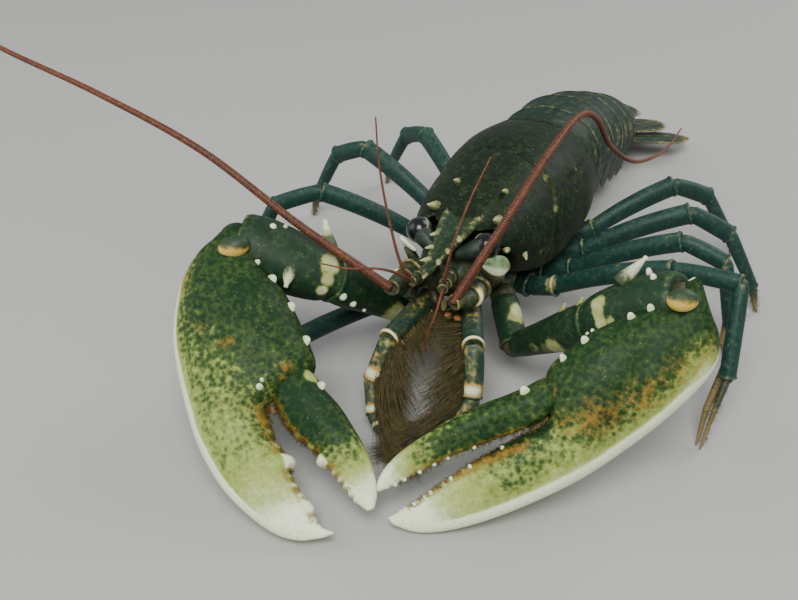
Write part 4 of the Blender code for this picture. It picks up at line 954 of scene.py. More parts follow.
def segment(
    start, end, girths, guide, flat=1.0, bow=0.0, rows=56, columns=32,
    swell=0.0, rim=0.10, power=(2, 2), shade=plain_shade,
):
    """One hard segment of a limb. It is narrow where it tucks into the one before, and its far end
    flares to a rim and turns in round the soft joint. bow bends it towards the guide direction, swell
    thickens its middle. girths is the half width at both ends, or rows of (share of the length, half
    width across, half width along the guide). shade gives its fade from the share of its length, the
    distances in girths from both ends and the place round it."""
    start, end, guide = np.array(start, float), np.array(end, float), np.array(guide, float)
    length = np.linalg.norm(end - start)
    aim = (end - start) / length
    guide = unit(guide - aim * guide.dot(aim))
    share = np.linspace(0, 1, rows)
    share = 0.5 * share + 0.5 * (0.5 - 0.5 * np.cos(np.pi * share))
    if np.ndim(girths) == 1:
        girths = [(0, girths[0], girths[0] * flat), (1, girths[1], girths[1] * flat)]
    wide, high = curve_through(girths, share).T
    mean = (wide.mean() + high.mean()) / 2
    near, far = share * length / mean, (1 - share) * length / mean
    size = (0.80 + 0.20 * smooth_step(0, 0.7, near)) * (1 + rim * bump_at(far, 0.16, 0.16))
    size = size * (1 + swell * np.sin(np.pi * share))
    # Behind the rim three rings turn in: each is set back along the limb and has a share of its girth
    back, narrow = np.array([0.0, -0.09, -0.13]), np.array([0.88, 0.62, 0.26])
    middle = start + np.outer(share, end - start) + np.outer(4 * bow * length * share * (1 - share), guide)
    aims = np.gradient(middle, axis=0)
    aims = unit(np.concatenate([aims, np.repeat(aims[-1:], 3, 0)]))
    middle = np.concatenate([middle, end + np.outer(back * mean, aim)])
    wide = np.append(wide * size, wide[-1] * narrow)[:, None]
    high = np.append(high * size, high[-1] * narrow)[:, None]
    up = unit(guide - aims * (aims @ guide)[:, None])
    angle = ring_angles(columns)
    x, z = ellipse_ring(angle, wide, high, high, *power)
    points = middle[:, None] + np.cross(aims, up)[:, None] * x[..., None] + up[:, None] * z[..., None]
    fade = np.broadcast_to(shade(share[:, None], near[:, None], far[:, None], angle), (rows, columns))
    return skin(points, fade=np.concatenate([fade, np.repeat(fade[-1:] * 0.2, 3, 0)]))


jaw_enamel = plain_finish("jaw enamel", (0.026, 0.028, 0.012), (0.08, 0.055, 0.020), 620, 0.5, 0.2, 0.1)
jaw_keys = [
    # share of the jaw, place, half width and half height
    (0, 5.6, -1.0, 38.5, 1.6, 1.8), (0.4, 4.6, -5.0, 36.6, 2.0, 2.0), (0.75, 2.8, -7.2, 34.8, 1.8, 1.6),
    (1, 0.9, -7.8, 33.4, 0.9, 0.8),
]
palp_shell = shell_finish(
    "palp shell", (0.016, 0.036, 0.018), (0.055, 0.065, 0.025), (0.30, 0.24, 0.08), (0.55, 0.52, 0.30),
    grain=600, relief=0.1,
)
palp_plans = [
    # joints and half widths of each inner mouth limb
    ([(9.5, -2, 33.5), (10.2, -10, 32.0), (8.6, -15.5, 29.0), (5.6, -17.0, 25.5)], (2.6, 2.3, 1.9, 1.4)),
    ([(6.6, -3, 31.5), (6.9, -11.5, 29.0), (5.2, -15.5, 25.0), (2.6, -15.5, 22.0)], (2.6, 2.2, 1.7, 1.2)),
    ([(10.5, -1, 38.5), (11.5, -7.0, 37.6), (11.3, -10.4, 35.0), (9.8, -11.2, 32.0)], (1.9, 1.7, 1.4, 0.9)),
]
jaws, palps = [], []
for hand in (1, -1):
    jaw = curve_through(jaw_keys, np.linspace(0, 1, 40))
    jaws.append(tube(jaw[:, :3] * (hand, 1, 1), jaw[:, 3], jaw[:, 4], up_way, 28))
    for joints, girth in palp_plans:
        joints = np.array(joints, float) * (hand, 1, 1)
        for k in range(3):
            ends = girth[k : k + 2]
            palps.append(segment(joints[k], joints[k + 1], ends, up_way, 0.8, rows=24, columns=18))
place_piece("jaws", jaws, jaw_enamel)
place_piece("inner_mouth_limbs", palps, palp_shell)
horn_orange = plain_finish("orange horn", (0.42, 0.13, 0.025), (0.62, 0.36, 0.14), 500, 0.45, 0.1, 0.1)
horn_roots, horn_tips = [(3.9, -10.6, 32.0), (8.2, -12.6, 33.2)], [(4.2, -12.4, 32.4), (8.9, -14.9, 34.6)]
horns = domes(horn_roots, horn_tips, (1.3, 1.2), stretch=(0.5, 0, 0))
place_piece("mouth_horns", horns, horn_orange)
lobe = domes([(2.4, -11.6, 38.6)], [(2.9, -13.6, 35.4)], 1.2, shade=(0.3, 0.75))
place_piece("mouth_lobe", lobe, palp_shell)

# The small and the long feelers
# Each feeler is a whip of hundreds of short horny rings on three jointed base segments. The small ones
# fork into two whips. A pointed scale with a fringed inner edge lies over each long feeler's base.


def whip(keys, root, tip, pitch, columns):
    """A ringed whip through the given points, with equal shares of its run between them. Each ring
    widens from its near edge to its far edge and then drops back, as pitch says in millimetres. The
    fade falls on every ring's edge and rises towards the tip."""
    table = np.column_stack([np.linspace(0, 1, len(keys)), keys])
    fine = curve_through(table, np.linspace(0, 1, 2000))
    run = np.append(0, np.cumsum(np.linalg.norm(np.diff(fine, axis=0), axis=1)))
    rings = int(run[-1] / pitch)
    steps = (np.arange(rings)[:, None] + np.array([0.0, 0.55, 0.88])).ravel() / rings
    middle = np.stack([np.interp(steps * run[-1], run, fine[:, k]) for k in range(3)], 1)
    radius = (root + (tip - root) * steps**0.9) * np.tile([0.88, 1.0, 1.05], rings)
    dark = np.tile([0.0, 0.22, 0.30], rings) + 0.25 * steps
    return tube(middle, radius, radius, (0.31, 0.2, 0.93), columns, fade=dark[:, None])


def stem_shade(share, near, far, angle):
    """Dark, with a straw ring at the far end."""
    return 0.08 + 0.42 * bump_at(far, 0.08, 0.14)


feeler_horn = shell_finish(
    "feeler horn", (0.050, 0.013, 0.004), (0.115, 0.030, 0.008), (0.20, 0.065, 0.018), (0.36, 0.15, 0.05),
    grain=900, relief=0.05, coat=0.12,
)
base_shell = shell_finish(
    "feeler base shell", (0.016, 0.036, 0.018), (0.070, 0.072, 0.026), (0.42, 0.30, 0.09), (0.82, 0.86, 0.60),
    grain=500, relief=0.1,
)
scale_shell = shell_finish(
    "scale shell", (0.020, 0.050, 0.022), (0.10, 0.16, 0.07), (0.30, 0.44, 0.21), (0.84, 0.90, 0.62),
    grain=380, relief=0.08,
)
stem_joints = [(3.6, -8, 48.6), (4.4, -13, 49.4), (5.2, -18, 50), (5.8, -22, 50.4)]
stem_girths = (2.5, 2.4, 2.1, 1.7)
for side, hand, *routes in (
    ("right", -1, [(-5.6, -20, 50.2), (-9, -24, 58), (-15, -22, 76), (-19, -20, 93), (-21, -18, 108)],
     [(-5.6, -21, 50.2), (-9.2, -26.6, 55.6), (-14.3, -31, 58.6), (-24.6, -34, 57.6), (-33.6, -36, 58.3)]),
    ("left", 1, [(5.6, -20, 50.2), (7, -22, 58), (9, -20, 70), (12, -14, 84), (16, -8, 97)],
     [(5.6, -21, 50.2), (7, -27, 49), (7, -31, 45), (6, -34, 40), (5.6, -36, 33)]),
):
    whips = [whip(keys, 0.66, 0.26, 0.62, 8) for keys in routes]
    place_piece(f"small_feeler_{side}", whips, feeler_horn)
    stem = np.array(stem_joints) * (hand, 1, 1)
    stems = []
    for k in range(3):
        girths = stem_girths[k : k + 2]
        stems.append(segment(stem[k], stem[k + 1], girths, up_way, rows=30, columns=24, shade=stem_shade))
    place_piece(f"small_feeler_stem_{side}", stems, base_shell, [f"antennule_{side}"])

long_routes = {
    "right": [
        (-12, -25.5, 48), (-45, -30, 67.5), (-83, -30, 88), (-124, -30, 101), (-166, -30, 111),
        (-200, -21, 115), (-230, -2, 112), (-250, 28, 101), (-262, 60, 85),
    ],
    "left": [
        (9.3, -20.6, 45), (20, -9, 69), (25, 20, 84), (28, 47, 90), (31, 62, 84), (34, 76, 67), (39, 96, 52),
        (42, 124, 42), (42, 155, 34), (40, 186, 28),
    ],
}
base_joints, base_girths = [(11, -2.5, 43.5), (12.6, -8, 44), (12.8, -14, 44.6)], (4.6, 4.9, 4.1, 2.6)
scale_plans = {
    # rows of (share, place, half width, half thickness), the way its face and its fringed edge turn, and
    # which of its edges is the bright one. The right scale is turned edge-on to the front.
    "left": (
        [(0, 20.4, 3.8, 48.5, 1.3, 0.5), (0.25, 19.4, 1.6, 49.9, 3.3, 1.0),
         (0.5, 17.9, -0.8, 51.2, 3.7, 1.25), (0.75, 16.0, -3.2, 52.4, 3.0, 1.0),
         (0.92, 14.3, -4.8, 53.0, 1.5, 0.7), (1, 13.4, -5.3, 53.2, 0.4, 0.3)],
        (0.78, -0.52, 0.34), (0.10, -0.35, -0.93), -1,
    ),
    "right": (
        [(0, -19.8, 1.0, 51.7, 1.3, 0.6), (0.3, -18.0, -1.4, 52.3, 2.9, 1.2),
         (0.6, -15.6, -2.8, 52.0, 2.8, 1.1), (0.85, -13.4, -3.7, 51.5, 1.5, 0.8),
         (1, -12.3, -4.0, 51.2, 0.5, 0.35)],
        (0.471, 0.661, 0.583), (-0.355, 0.748, -0.561), 1,
    ),
}
scale_root = [(13.8, -2.2, 46.0), (15.6, -1.5, 48.2), (17.4, -0.8, 50.4)]


def base_shade(crescent, hand):
    """The shade of a base segment: a straw rim, and a cream crescent on its outer side."""
    return lambda share, near, far, angle: (
        0.08 + 0.34 * bump_at(far, 0.06, 0.12)
        + crescent * bump_at(far, 0.10, 0.42) * smooth_step(0.3, 0.95, -hand * np.cos(angle))
    )


def scale_tint(bright, rusty):
    """The shade of a scale: mint, with one cream edge and a rusty outer end."""
    return lambda x, z: {"fade": 0.56 + 0.66 * smooth_step(-0.15, 0.5, x * bright), "warm": rusty}


for side, hand, root in (("right", -1, 1.7), ("left", 1, 1.8)):
    route = long_routes[side]
    long_whip = whip(route, root, 0.32, 0.95, 16)
    whip_nodes = [f"antenna_{side}_{k}" for k in (1, 2, 3)]
    place_piece(f"long_feeler_{side}", long_whip, feeler_horn, whip_nodes)
    joints = np.concatenate([np.array(base_joints) * (hand, 1, 1), route[:1]])
    bases = []
    for k, crescent in enumerate((0.0, 1.5, 0.2)):
        start = joints[k] - unit(joints[k + 1] - joints[k]) * 1.0
        bases.append(
            segment(start, joints[k + 1], base_girths[k : k + 2], up_way, 0.92, rows=36, columns=36,
                    swell=0.05, rim=0.13, shade=base_shade(crescent, hand))
        )
    place_piece(f"long_feeler_base_{side}", bases, base_shell, [f"antenna_base_{side}"])
    scale_keys, facing, drop, bright = scale_plans[side]
    share = np.linspace(0, 1, 70)
    blade = curve_through(scale_keys, share)
    rusty = (0.85 * (1 - smooth_step(0.03, 0.22, share)) * (side == "left"))[:, None]
    tint = scale_tint(bright, rusty)
    scale = tube(blade[:, :3], blade[:, 3], blade[:, 4], facing, 44, (2.0, 2.6), tint)
    place_piece(f"feeler_scale_{side}", scale, scale_shell, [f"antenna_scale_{side}"])
    # A short dark root carries the scale, and its lower edge is fringed
    path, girths = np.array(scale_root) * (hand, 1, 1), (2.0, 1.8, 1.5)
    root_tube = tube(path, girths, girths, (0, -1, 0), 24, fade=0.1)
    place_piece(f"scale_root_{side}", root_tube, base_shell)
    edge = curve_through(scale_keys, np.linspace(0.2, 0.96, 60))
    edge_places = edge[:, :3] + np.outer(edge[:, 3] * 0.93, drop)
    reach = 1.5 + random.random((60, 1)) * 0.9
    tips = edge_places + reach * (drop + random.normal(0, 0.12, (60, 3)))
    fringe = bristles([edge_places], [tips], (0, -0.2, 0), 0.09)
    place_piece(f"scale_fringe_{side}", fringe, hair_brown)

# The outer mouth limbs
# The last pair of mouth limbs covers the mouth like two doors. Each is a long toothed segment and four
# slimmer ones bent inward, with pale bands at the joints and dense brown bristles along the inner edge.
mouth_limbs = {
    "right": [(-7, 2, 31), (-12, -28, 27), (-15, -36, 14), (-10, -45, 6), (-2, -53, 4)],
    "left": [(7, 2, 31), (20, -27, 33), (24, -36, 19), (20, -44, 8), (13, -48, 4)],
}
mouth_segments = [
    # half widths at both ends, place and width of the pale band, number of bristles and their length
    ((4.5, 4.3), 0.10, 0.20, 700, 11.0), ((4.0, 3.5), 0.85, 0.62, 800, 15.5),
    ((3.2, 2.7), 0.75, 0.55, 1400, 19.5), ((2.5, 2.0), 0.4, 0.4, 800, 15.5),
    ((1.9, 0.7), 0.3, 0.3, 160, 7.0),
]
# No bristle reaches below the floor
lowest_hair = 0.4


def banded(place, width):
    """The shade of a mouth limb's segment: dark, with a cream band at its place before the far rim, in
    girths, a weaker one near the root and a pale outer line."""
    return lambda share, near, far, angle: (
        0.05 + (0.35 + smooth_step(-0.4, 0.9, np.cos(angle))) * bump_at(far, place, width)
        + 0.30 * bump_at(near, 0.5, 0.45)
        + 0.30 * bump_at(np.cos(angle), 0.95, 0.2) * bump_at(share, 0.45, 0.3)
    )


mouth_shell = shell_finish(
    "mouth limb shell", (0.010, 0.038, 0.024), (0.050, 0.075, 0.032), (0.48, 0.34, 0.10), (0.80, 0.82, 0.54),
    grain=420, relief=0.1,
)
for side, joints in mouth_limbs.items():
    joints = np.array(joints, float)
    hand = 1 if side == "left" else -1
    inner = unit(np.array([-hand, -0.25, -0.1]))
    limbs, hair_roots, hair_tips = [], [], []
    split = joints[3] + (joints[4] - joints[3]) * 0.52
    chain = [*joints[:4], split, joints[4]]
    for k, (girths, place, width, count, long) in enumerate(mouth_segments):
        start, end = chain[k], chain[k + 1]
        heading = unit(end - start)
        limbs.append(
            segment(
                start - heading * girths[0] * 0.35, end, girths, (1, 0, 0), 0.86, rows=64, columns=40,
                swell=0.06, rim=0.12, power=(2.2, 2.2), shade=banded(place, width), bow=0.02 if k else 0.0,
            )
        )
        share = random.random((count, 1))
        girth = girths[0] + (girths[1] - girths[0]) * share
        outward = inner + np.cross(heading, inner) * random.normal(0, 0.35, (count, 1))
        roots = start + (end - start) * share + outward * girth * 0.72
        reach = long * (0.4 + 0.8 * random.random((count, 1)))
        aim = outward * 0.8 + heading * 0.45 + (0, -0.2, -0.25) + random.normal(0, 0.16, (count, 3))
        hair_roots.append(roots)
        hair_tips.append(np.maximum(roots + reach * aim, [-np.inf, -np.inf, lowest_hair]))
    share = np.linspace(0.12, 0.9, 16)[:, None]
    tooth_roots = joints[0] + (joints[1] - joints[0]) * share + inner * 3.4
    tooth_tips = tooth_roots + inner * 2.2 + (joints[1] - joints[0]) * 0.02
    limbs += thorns(tooth_roots, tooth_tips, 0.8, 6)
    place_piece(f"mouth_limb_{side}", limbs, mouth_shell, [f"maxilliped_{side}"])
    hairs = bristles(hair_roots, hair_tips, (0, 0, -0.4), 0.13)
    place_piece(f"mouth_bristles_{side}", hairs, hair_brown)

# The underside of the thorax
# A narrow plate between the legs carries their sockets, one groove between each pair, and a low keel
# runs along its middle. Its shell is thinner and paler than the back's.


def thorax_relief(place):
    """A groove between each two pairs of legs, and a keel along the middle below."""
    x, y, z = place[..., 0], place[..., 1], place[..., 2]
    grooves = sum(bump_at(y, spot, 1.2) for spot in (30, 42.5, 54.5, 66.5, 79))
    return 0.9 * bump_at(x, 0, 1.6) * (z < 26) - 1.5 * grooves - 0.4 + 0.35 * np.sin(y * 0.52 + 1.9)


def thorax_shade(place):
    """Straw, and paler along the middle."""
    return 0.32 + 0.25 * bump_at(place[..., 0], 0, 3.5)


thorax_keys = [
    (16.4, 11, 33, 24), (24, 13, 31, 20), (40, 14, 28, 18), (60, 15, 27, 18), (78, 15, 28, 19.5),
    (90, 11, 31, 25),
]
thorax_shell = shell_finish(
    "thorax shell", (0.030, 0.055, 0.050), (0.12, 0.13, 0.075), (0.44, 0.34, 0.15), (0.68, 0.60, 0.38),
    grain=420, relief=0.1,
)
thorax = body_rings(thorax_keys, 150, 110, 3.2, thorax_relief, thorax_shade)
place_piece("thorax_plate", thorax, thorax_shell, ["thorax"])

# The arms of the great claws
# A short ring, a three-sided segment and a broad wrist carry each claw. They are blotched dark green
# with cream patches at the joints, and a few pale spines and beads stand where the photograph shows them.
arm_shell = shell_finish(
    "arm shell", (0.009, 0.034, 0.014), (0.034, 0.066, 0.022), (0.34, 0.36, 0.11), (0.82, 0.92, 0.62),
    grain=400, relief=0.14, coat=0.03, gloss=0.22,
)
joint_skin = plain_finish("joint skin", (0.026, 0.030, 0.012), (0.068, 0.054, 0.020), 420, 0.6, 0.3, 0.05)
arm_joints = {
    "right": [(-12, 18, 26), (-18.5, 1.5, 19), (-36, -26, 45.5), (-68, -35, 58)],
    "left": [(14, 18, 26), (25, 2.5, 16.5), (56.3, -8.5, 43), (85, -10, 61)],
}
merus_profile = [(0, 4.6, 4.4), (0.2, 5.0, 5.2), (0.5, 6.2, 6.4), (0.8, 7.6, 7.8), (1, 7.5, 7.7)]
carpus_profile = [
    (0, 7.4, 7.2), (0.12, 8.7, 8.2), (0.3, 10.4, 9.8), (0.6, 11.8, 11.0), (0.85, 11.6, 11.4), (1, 9.4, 9.6),
]
arm_spots = {
    # pale patches of the arm: place, reach and strength
    "right": [
        (-34.6, -28.3, 53.0, 4.4, 0.85), (-34.0, -31.8, 49.5, 3.0, 0.8), (-34.6, -34.4, 46.0, 2.4, 1.0),
        (-37.6, -32.6, 50.5, 1.8, 0.5), (-19.5, -8.0, 23.5, 6.0, 0.9),
    ],
    "left": [
        (57.8, -13.8, 55.2, 3.4, 0.85), (58.8, -15.6, 53.4, 2.9, 0.75), (60.0, -17.0, 51.8, 2.4, 0.75),
        (61.2, -18.2, 50.0, 2.7, 0.9), (64.4, -18.5, 52.6, 1.9, 0.75), (67.0, -19.4, 52.4, 1.4, 0.6),
        (44.5, -9.5, 30.5, 4.6, 0.85), (41.0, -8.5, 27.5, 3.4, 0.5), (35.5, -6.5, 25.0, 2.6, 0.5),
        (22.6, 11.4, 25.8, 3.8, 0.9), (22.0, 8.0, 25.2, 2.8, 0.7), (24.8, 10.0, 24.6, 3.0, 0.7),
    ],
}
wrist_spines = {
    # root, tip, radius and how far the dark base reaches. The first of each wrist is the tallest
    "right": [
        ((-38.6, -21.0, 53.0), (-43.8, -14.0, 61.6), 3.6, 8.0),
        ((-45.2, -37.3, 53.4), (-43.9, -43.2, 49.8), 2.9, 3.4),
    ],
    "left": [((63.4, -9.0, 61.5), (69.9, -3.0, 70.2), 3.0, 4.5)],
}
arm_bead_plan = {
    # beads of the arm: place, direction and radius
    "right": [
        ((-29.2, -29.0, 41.5), (0.72, -0.67, -0.19), 1.7), ((-27.3, -25.2, 36.7), (0.70, -0.64, -0.32), 1.5),
        ((-25.6, -20.0, 31.4), (0.58, -0.65, -0.49), 1.0), ((-54.6, -31.6, 65.3), (0.41, -0.02, 0.91), 1.5),
        ((-51.5, -27.9, 64.6), (0.45, 0.10, 0.88), 0.9),
    ],
    "left": [
        ((52.8, -13.4, 40.0), (0.0, -0.85, -0.5), 1.7), ((48.6, -12.2, 36.6), (0.0, -0.85, -0.5), 1.4),
        ((74.2, -11.3, 68.7), (-0.35, -0.16, 0.92), 1.15), ((71.9, -7.8, 68.3), (-0.35, 0.1, 0.92), 1.05),
        ((58.4, -17.8, 46.5), (-0.37, -0.93, 0.07), 1.0), ((56.6, -17.5, 44.4), (-0.37, -0.93, 0.07), 0.8),
    ],
}


def arm_shade(share, near, far, angle):
    """Dark, with a pale rim at the far end and a straw flush near both joints."""
    return 0.02 + 0.24 * bump_at(far, 0.06, 0.08) + 0.08 * bump_at(near, 0.35, 0.3)


for side, joints in arm_joints.items():
    socket, base_end, elbow, wrist = np.array(joints, float)
    along, reach = unit(elbow - base_end), unit(wrist - elbow)
    first = segment(socket, base_end, (5.4, 5.2), up_way, rows=50, columns=44, shade=arm_shade)
    second = segment(
        base_end - along * 1.2, elbow, merus_profile, up_way, rows=90, columns=64,
        rim=0.07, power=(1.75, 2.2), shade=arm_shade,
    )
    third = segment(
        elbow - reach * 4.6, wrist, carpus_profile, claw_frames[side].face, rows=110, columns=84,
        rim=0.05, power=(2.2, 2.2), shade=arm_shade,
    )
    for part in (first, second, third):
        spotted(part, arm_spots[side])
    # Two forward spines stand on the upper edge of the long segment, 6.6 and 6.4 mm over its middle line
    lift = np.cross(unit(np.cross(along, up_way)), along)
    roots = np.array([base_end + (elbow - base_end) * s + lift * g for s, g in ((0.93, 6.6), (0.72, 6.4))])
    edge_spines = thorns(roots, roots + lift * 3.2 + along * 3.4, 1.7)
    bead_places, bead_ways, bead_sizes = (np.array(column, float) for column in zip(*arm_bead_plan[side]))
    bead_ways = unit(bead_ways)
    bead_tips = bead_places + bead_ways * bead_sizes[:, None] * 0.75
    beads = domes(bead_places - bead_ways * 2.2, bead_tips, bead_sizes, shade=(0.1, 1.4))
    spine_roots, spine_tips, spine_sizes, stains = (np.array(column) for column in zip(*wrist_spines[side]))
    cones = thorns(spine_roots, spine_tips, spine_sizes, 18, blunt=0.3)
    for cone, root, stain in zip(cones, spine_roots, stains):
        spotted(cone, [(*root, stain, -0.7)])
    ball_plans = ((base_end, along, 4.5), (elbow, reach, 6.6), (wrist, reach, 6.4), (socket, along, 5.0))
    balls = [globe(centre, axis, radius) for centre, axis, radius in ball_plans]
    place_piece(f"arm_ring_{side}", first, arm_shell, [f"claw_ischium_{side}"])
    place_piece(f"arm_upper_{side}", [second] + edge_spines, arm_shell, [f"claw_merus_{side}"])
    place_piece(f"wrist_{side}", third, arm_shell, [f"claw_carpus_{side}"])
    place_piece(f"arm_spines_{side}", cones + beads, bead_enamel)
    place_piece(f"arm_joints_{side}", balls, joint_skin)

# The walking legs
# Four slender pairs of six segments each. The first two pairs end in small pincers and the last two in
# single hooks. The joints have paler rims, and short bristles stand on the last two segments.
leg_shell = shell_finish(
    "leg shell", (0.006, 0.034, 0.026), (0.014, 0.056, 0.040), (0.24, 0.23, 0.09), (0.58, 0.58, 0.34),
    grain=460, relief=0.08, coat=0.04, gloss=0.28,
)
hook_horn = shell_finish(
    "hook horn", (0.014, 0.036, 0.024), (0.055, 0.060, 0.026), (0.20, 0.15, 0.055), (0.38, 0.31, 0.14),
    grain=700, relief=0.05,
)
# Half widths of the six segments at both ends
leg_girths = [(4.6, 4.2), (3.7, 3.6), (3.0, 3.7), (2.9, 3.2), (2.7, 2.1), (1.9, 0.8)]
pincer_girths = [(4.4, 4.0), (3.5, 3.4), (2.9, 3.4), (2.8, 3.0), (2.6, 2.9), (1.5, 0.6)]
leg_bows, leg_swells = (0, 0, 0.035, 0.02, 0.02, 0.05), (0, 0, 0.05, 0.05, 0.08, 0.1)
# The last segment narrows to this share of its end width
hook_share = 0.55
leg_joints = {
    (1, "left"): [
        (11, 37, 22), (19, 35, 22), (30, 33, 26), (74, 28, 48), (98, 26, 50), (101, 9, 22), (98, -6, 0)],
    (2, "left"): [
        (12, 49, 22), (20, 49, 22), (31, 49, 25), (71, 54, 45), (88, 54, 40), (94, 53, 14), (95, 52, 0)],
    (3, "left"): [
        (12, 61, 22), (20, 62, 22), (31, 65, 25), (68, 80, 43), (84, 84, 35), (96, 87, 12), (99, 88, 0)],
    (4, "left"): [
        (12, 73, 22), (20, 76, 22), (29, 82, 25), (55, 105, 40), (68, 117, 32), (78, 126, 11), (81, 129, 0)],
    (1, "right"): [
        (-11, 36, 21), (-18, 30, 18), (-24, 20, 15), (-50, -30, 17), (-59, -43, 18), (-66, -54, 8),
        (-67, -58, 0)],
    (2, "right"): [
        (-12, 49, 22), (-20, 48, 22), (-31, 45, 25), (-70, 30, 45), (-88, 23, 38), (-98, 17, 13),
        (-100, 15, 0)],
    (3, "right"): [
        (-12, 61, 22), (-20, 62, 22), (-31, 64, 25), (-72, 74, 44), (-88, 77, 36), (-100, 79, 12),
        (-103, 80, 0)],
    (4, "right"): [
        (-12, 73, 22), (-20, 76, 22), (-29, 82, 25), (-57, 103, 41), (-71, 113, 33), (-83, 121, 11),
        (-86, 123, 0)],
}


def leg_shade(share, near, far, angle):
    """Blue with a paler rim at the far end and a faint streak along the top."""
    rims = 0.32 * bump_at(far, 0.08, 0.14) + 0.10 * bump_at(near, 0.4, 0.35)
    return 0.06 + rims + 0.10 * bump_at(np.sin(angle), 1, 0.3)


def finger_shade(share, near, far, angle):
    """Blue at the root, then brown and straw towards the tip."""
    return 0.15 + 0.75 * smooth_step(0.15, 0.9, share)


def tip_shade(share, near, far, angle):
    """Straw, paler towards the tip."""
    return 0.6 + 0.3 * share


for (number, side), joints in leg_joints.items():
    joints = np.array(joints, float)
    headings = unit(np.diff(joints, axis=0))
    pincer = number < 3
    girths = pincer_girths if pincer else leg_girths
    parts = []
    for k, ((near_girth, far_girth), heading) in enumerate(zip(girths, headings)):
        last = k == 5
        start = joints[k] - heading * (0.3 * near_girth if k else 0.0)
        end = joints[k + 1] + (0, 0, 0.25 if last else 0)
        parts.append(
            segment(
                start, end, (near_girth, far_girth * (hook_share if last else 1)),
                up_way if abs(heading[2]) < 0.8 else (0, -1, 0.2), 1.15, rows=40, columns=26, bow=leg_bows[k],
                swell=leg_swells[k], rim=0.0 if last else 0.13, power=(1.9, 2.1),
                shade=finger_shade if last else leg_shade,
            )
        )
    # Painted highlight: two pale spots near the joint of the first left leg's upper segments
    if (number, side) == (1, "left"):
        for part in parts[:3]:
            spotted(part, [(28.0, 30.6, 28.4, 2.8, 0.75), (28.1, 29.8, 26.0, 2.2, 0.4)])
    tips = [parts[5]]
    if pincer:
        heel, toe = joints[5], joints[6]
        beside = unit(np.cross(toe - heel, up_way)) * (1 if side == "left" else -1)
        knuckle = heel + (joints[4] - heel) * 0.2 + beside * 0.6
        middle = heel + (toe - heel) * 0.5 + beside * 2.9
        end = heel + (toe - heel) * 0.97 + beside * 1.6 + (0, 0, 0.4)
        plain = {"rows": 26, "columns": 20, "rim": 0.0}
        tips.append(segment(knuckle, middle, (1.7, 1.3), up_way, shade=finger_shade, **plain))
        start = middle - headings[5] * 0.6
        tips.append(segment(start, end, (1.25, 0.45), up_way, shade=tip_shade, **plain))
    leg = f"leg_{number}_{side}"
    place_piece(f"{leg}_upper", parts[:3], leg_shell, [f"leg_{number}_upper_{side}"])
    place_piece(f"{leg}_lower", parts[3:5], leg_shell, [f"leg_{number}_lower_{side}"])
    place_piece(f"{leg}_tip", tips, hook_horn)
    balls = [
        globe(joint, up_way, ends[1] * 0.72, rows=12, columns=18)
        for joint, ends in zip(joints[1:6], girths)
    ]
    place_piece(f"{leg}_joints", balls, joint_skin)
    hair_roots, hair_tips = [], []
    for k, count, long, taper in ((4, 90, 1.7, 1), (5, 110, 1.9, hook_share)):
        way = headings[k]
        share = random.random((count, 1)) * 0.84 + 0.08
        angle = random.random((count, 1)) * 2 * np.pi
        one = unit(np.cross(way, (0.3, 0.9, 0.1)))
        outward = one * np.cos(angle) + np.cross(way, one) * np.sin(angle)
        girth = girths[k][0] + (girths[k][1] * taper - girths[k][0]) * share
        roots = joints[k] + (joints[k + 1] - joints[k]) * share + outward * girth * 0.84
        reach = long * (0.6 + 0.6 * random.random((count, 1)))
        hair_roots.append(roots)
        hair_tips.append(np.maximum(roots + (outward * 0.75 + way * 0.8) * reach, [-np.inf, -np.inf, 0.3]))
    hairs = bristles(hair_roots, hair_tips, (0, 0, 0), 0.10)
    place_piece(f"{leg}_bristles", hairs, hair_brown)

# The abdomen
# Six shell rings overlap like roof tiles, each with a smooth front band that slides under the ring in
# front, and all but the first with a pointed side plate on each flank. Their undersides are soft, ribbed and
# paler.
ring_plans = [
    # length, slope in degrees, then half width, height over and depth under the middle line at both ends
    (13, 3, (20.5, 18, 13), (22.2, 19.4, 13.5)), (18, 10, (21.5, 18.5, 13.5), (22.8, 19.8, 13.8)),
    (19, 16, (21.3, 18, 13), (22.2, 19.2, 13.4)), (19, 19, (20.3, 17.2, 12.5), (21, 18.2, 13)),
    (18, 20, (19, 16.2, 12), (19.5, 17, 12.4)), (19, 17, (17.3, 15, 11), (15.8, 13.2, 9.5)),
]
abdomen_shell = shell_finish(
    "abdomen shell", (0.009, 0.026, 0.019), (0.036, 0.052, 0.026), (0.32, 0.28, 0.11), (0.66, 0.66, 0.42),
    grain=300, relief=0.13, coat=0.05, gloss=0.2,
)
swimmer_shell = shell_finish(
    "swimmeret shell", (0.060, 0.075, 0.045), (0.16, 0.15, 0.075), (0.45, 0.32, 0.12), (0.62, 0.50, 0.28),
    grain=500, relief=0.06,
)
ring_swell = [(0, 0.965), (0.3, 1.0), (0.42, 0.985), (1, 1.03)]
plate_keys = [
    # share of the way down, reach forward and back as shares of the ring's length, half thickness
    (0, 0.36, 0.40, 1.5), (0.3, 0.36, 0.41, 1.75), (0.45, 0.36, 0.42, 1.6), (0.75, 0.24, 0.42, 1.3),
    (0.92, -0.10, 0.41, 0.9), (1, -0.34, 0.39, 0.4),
]
blade_wide = [(0, 1.5), (0.2, 1.9), (0.3, 1.8), (0.65, 3.3), (0.9, 2.2), (1, 0.5)]
blade_thick = [(0, 1.3), (0.28, 1.0), (0.4, 0.55), (1, 0.2)]


def slope_ways(degrees):
    """The way back along the abdomen and the way up from it, at a slope."""
    slope = math.radians(degrees)
    return np.array([0, math.cos(slope), -math.sin(slope)]), np.array([0, math.sin(slope), math.cos(slope)])


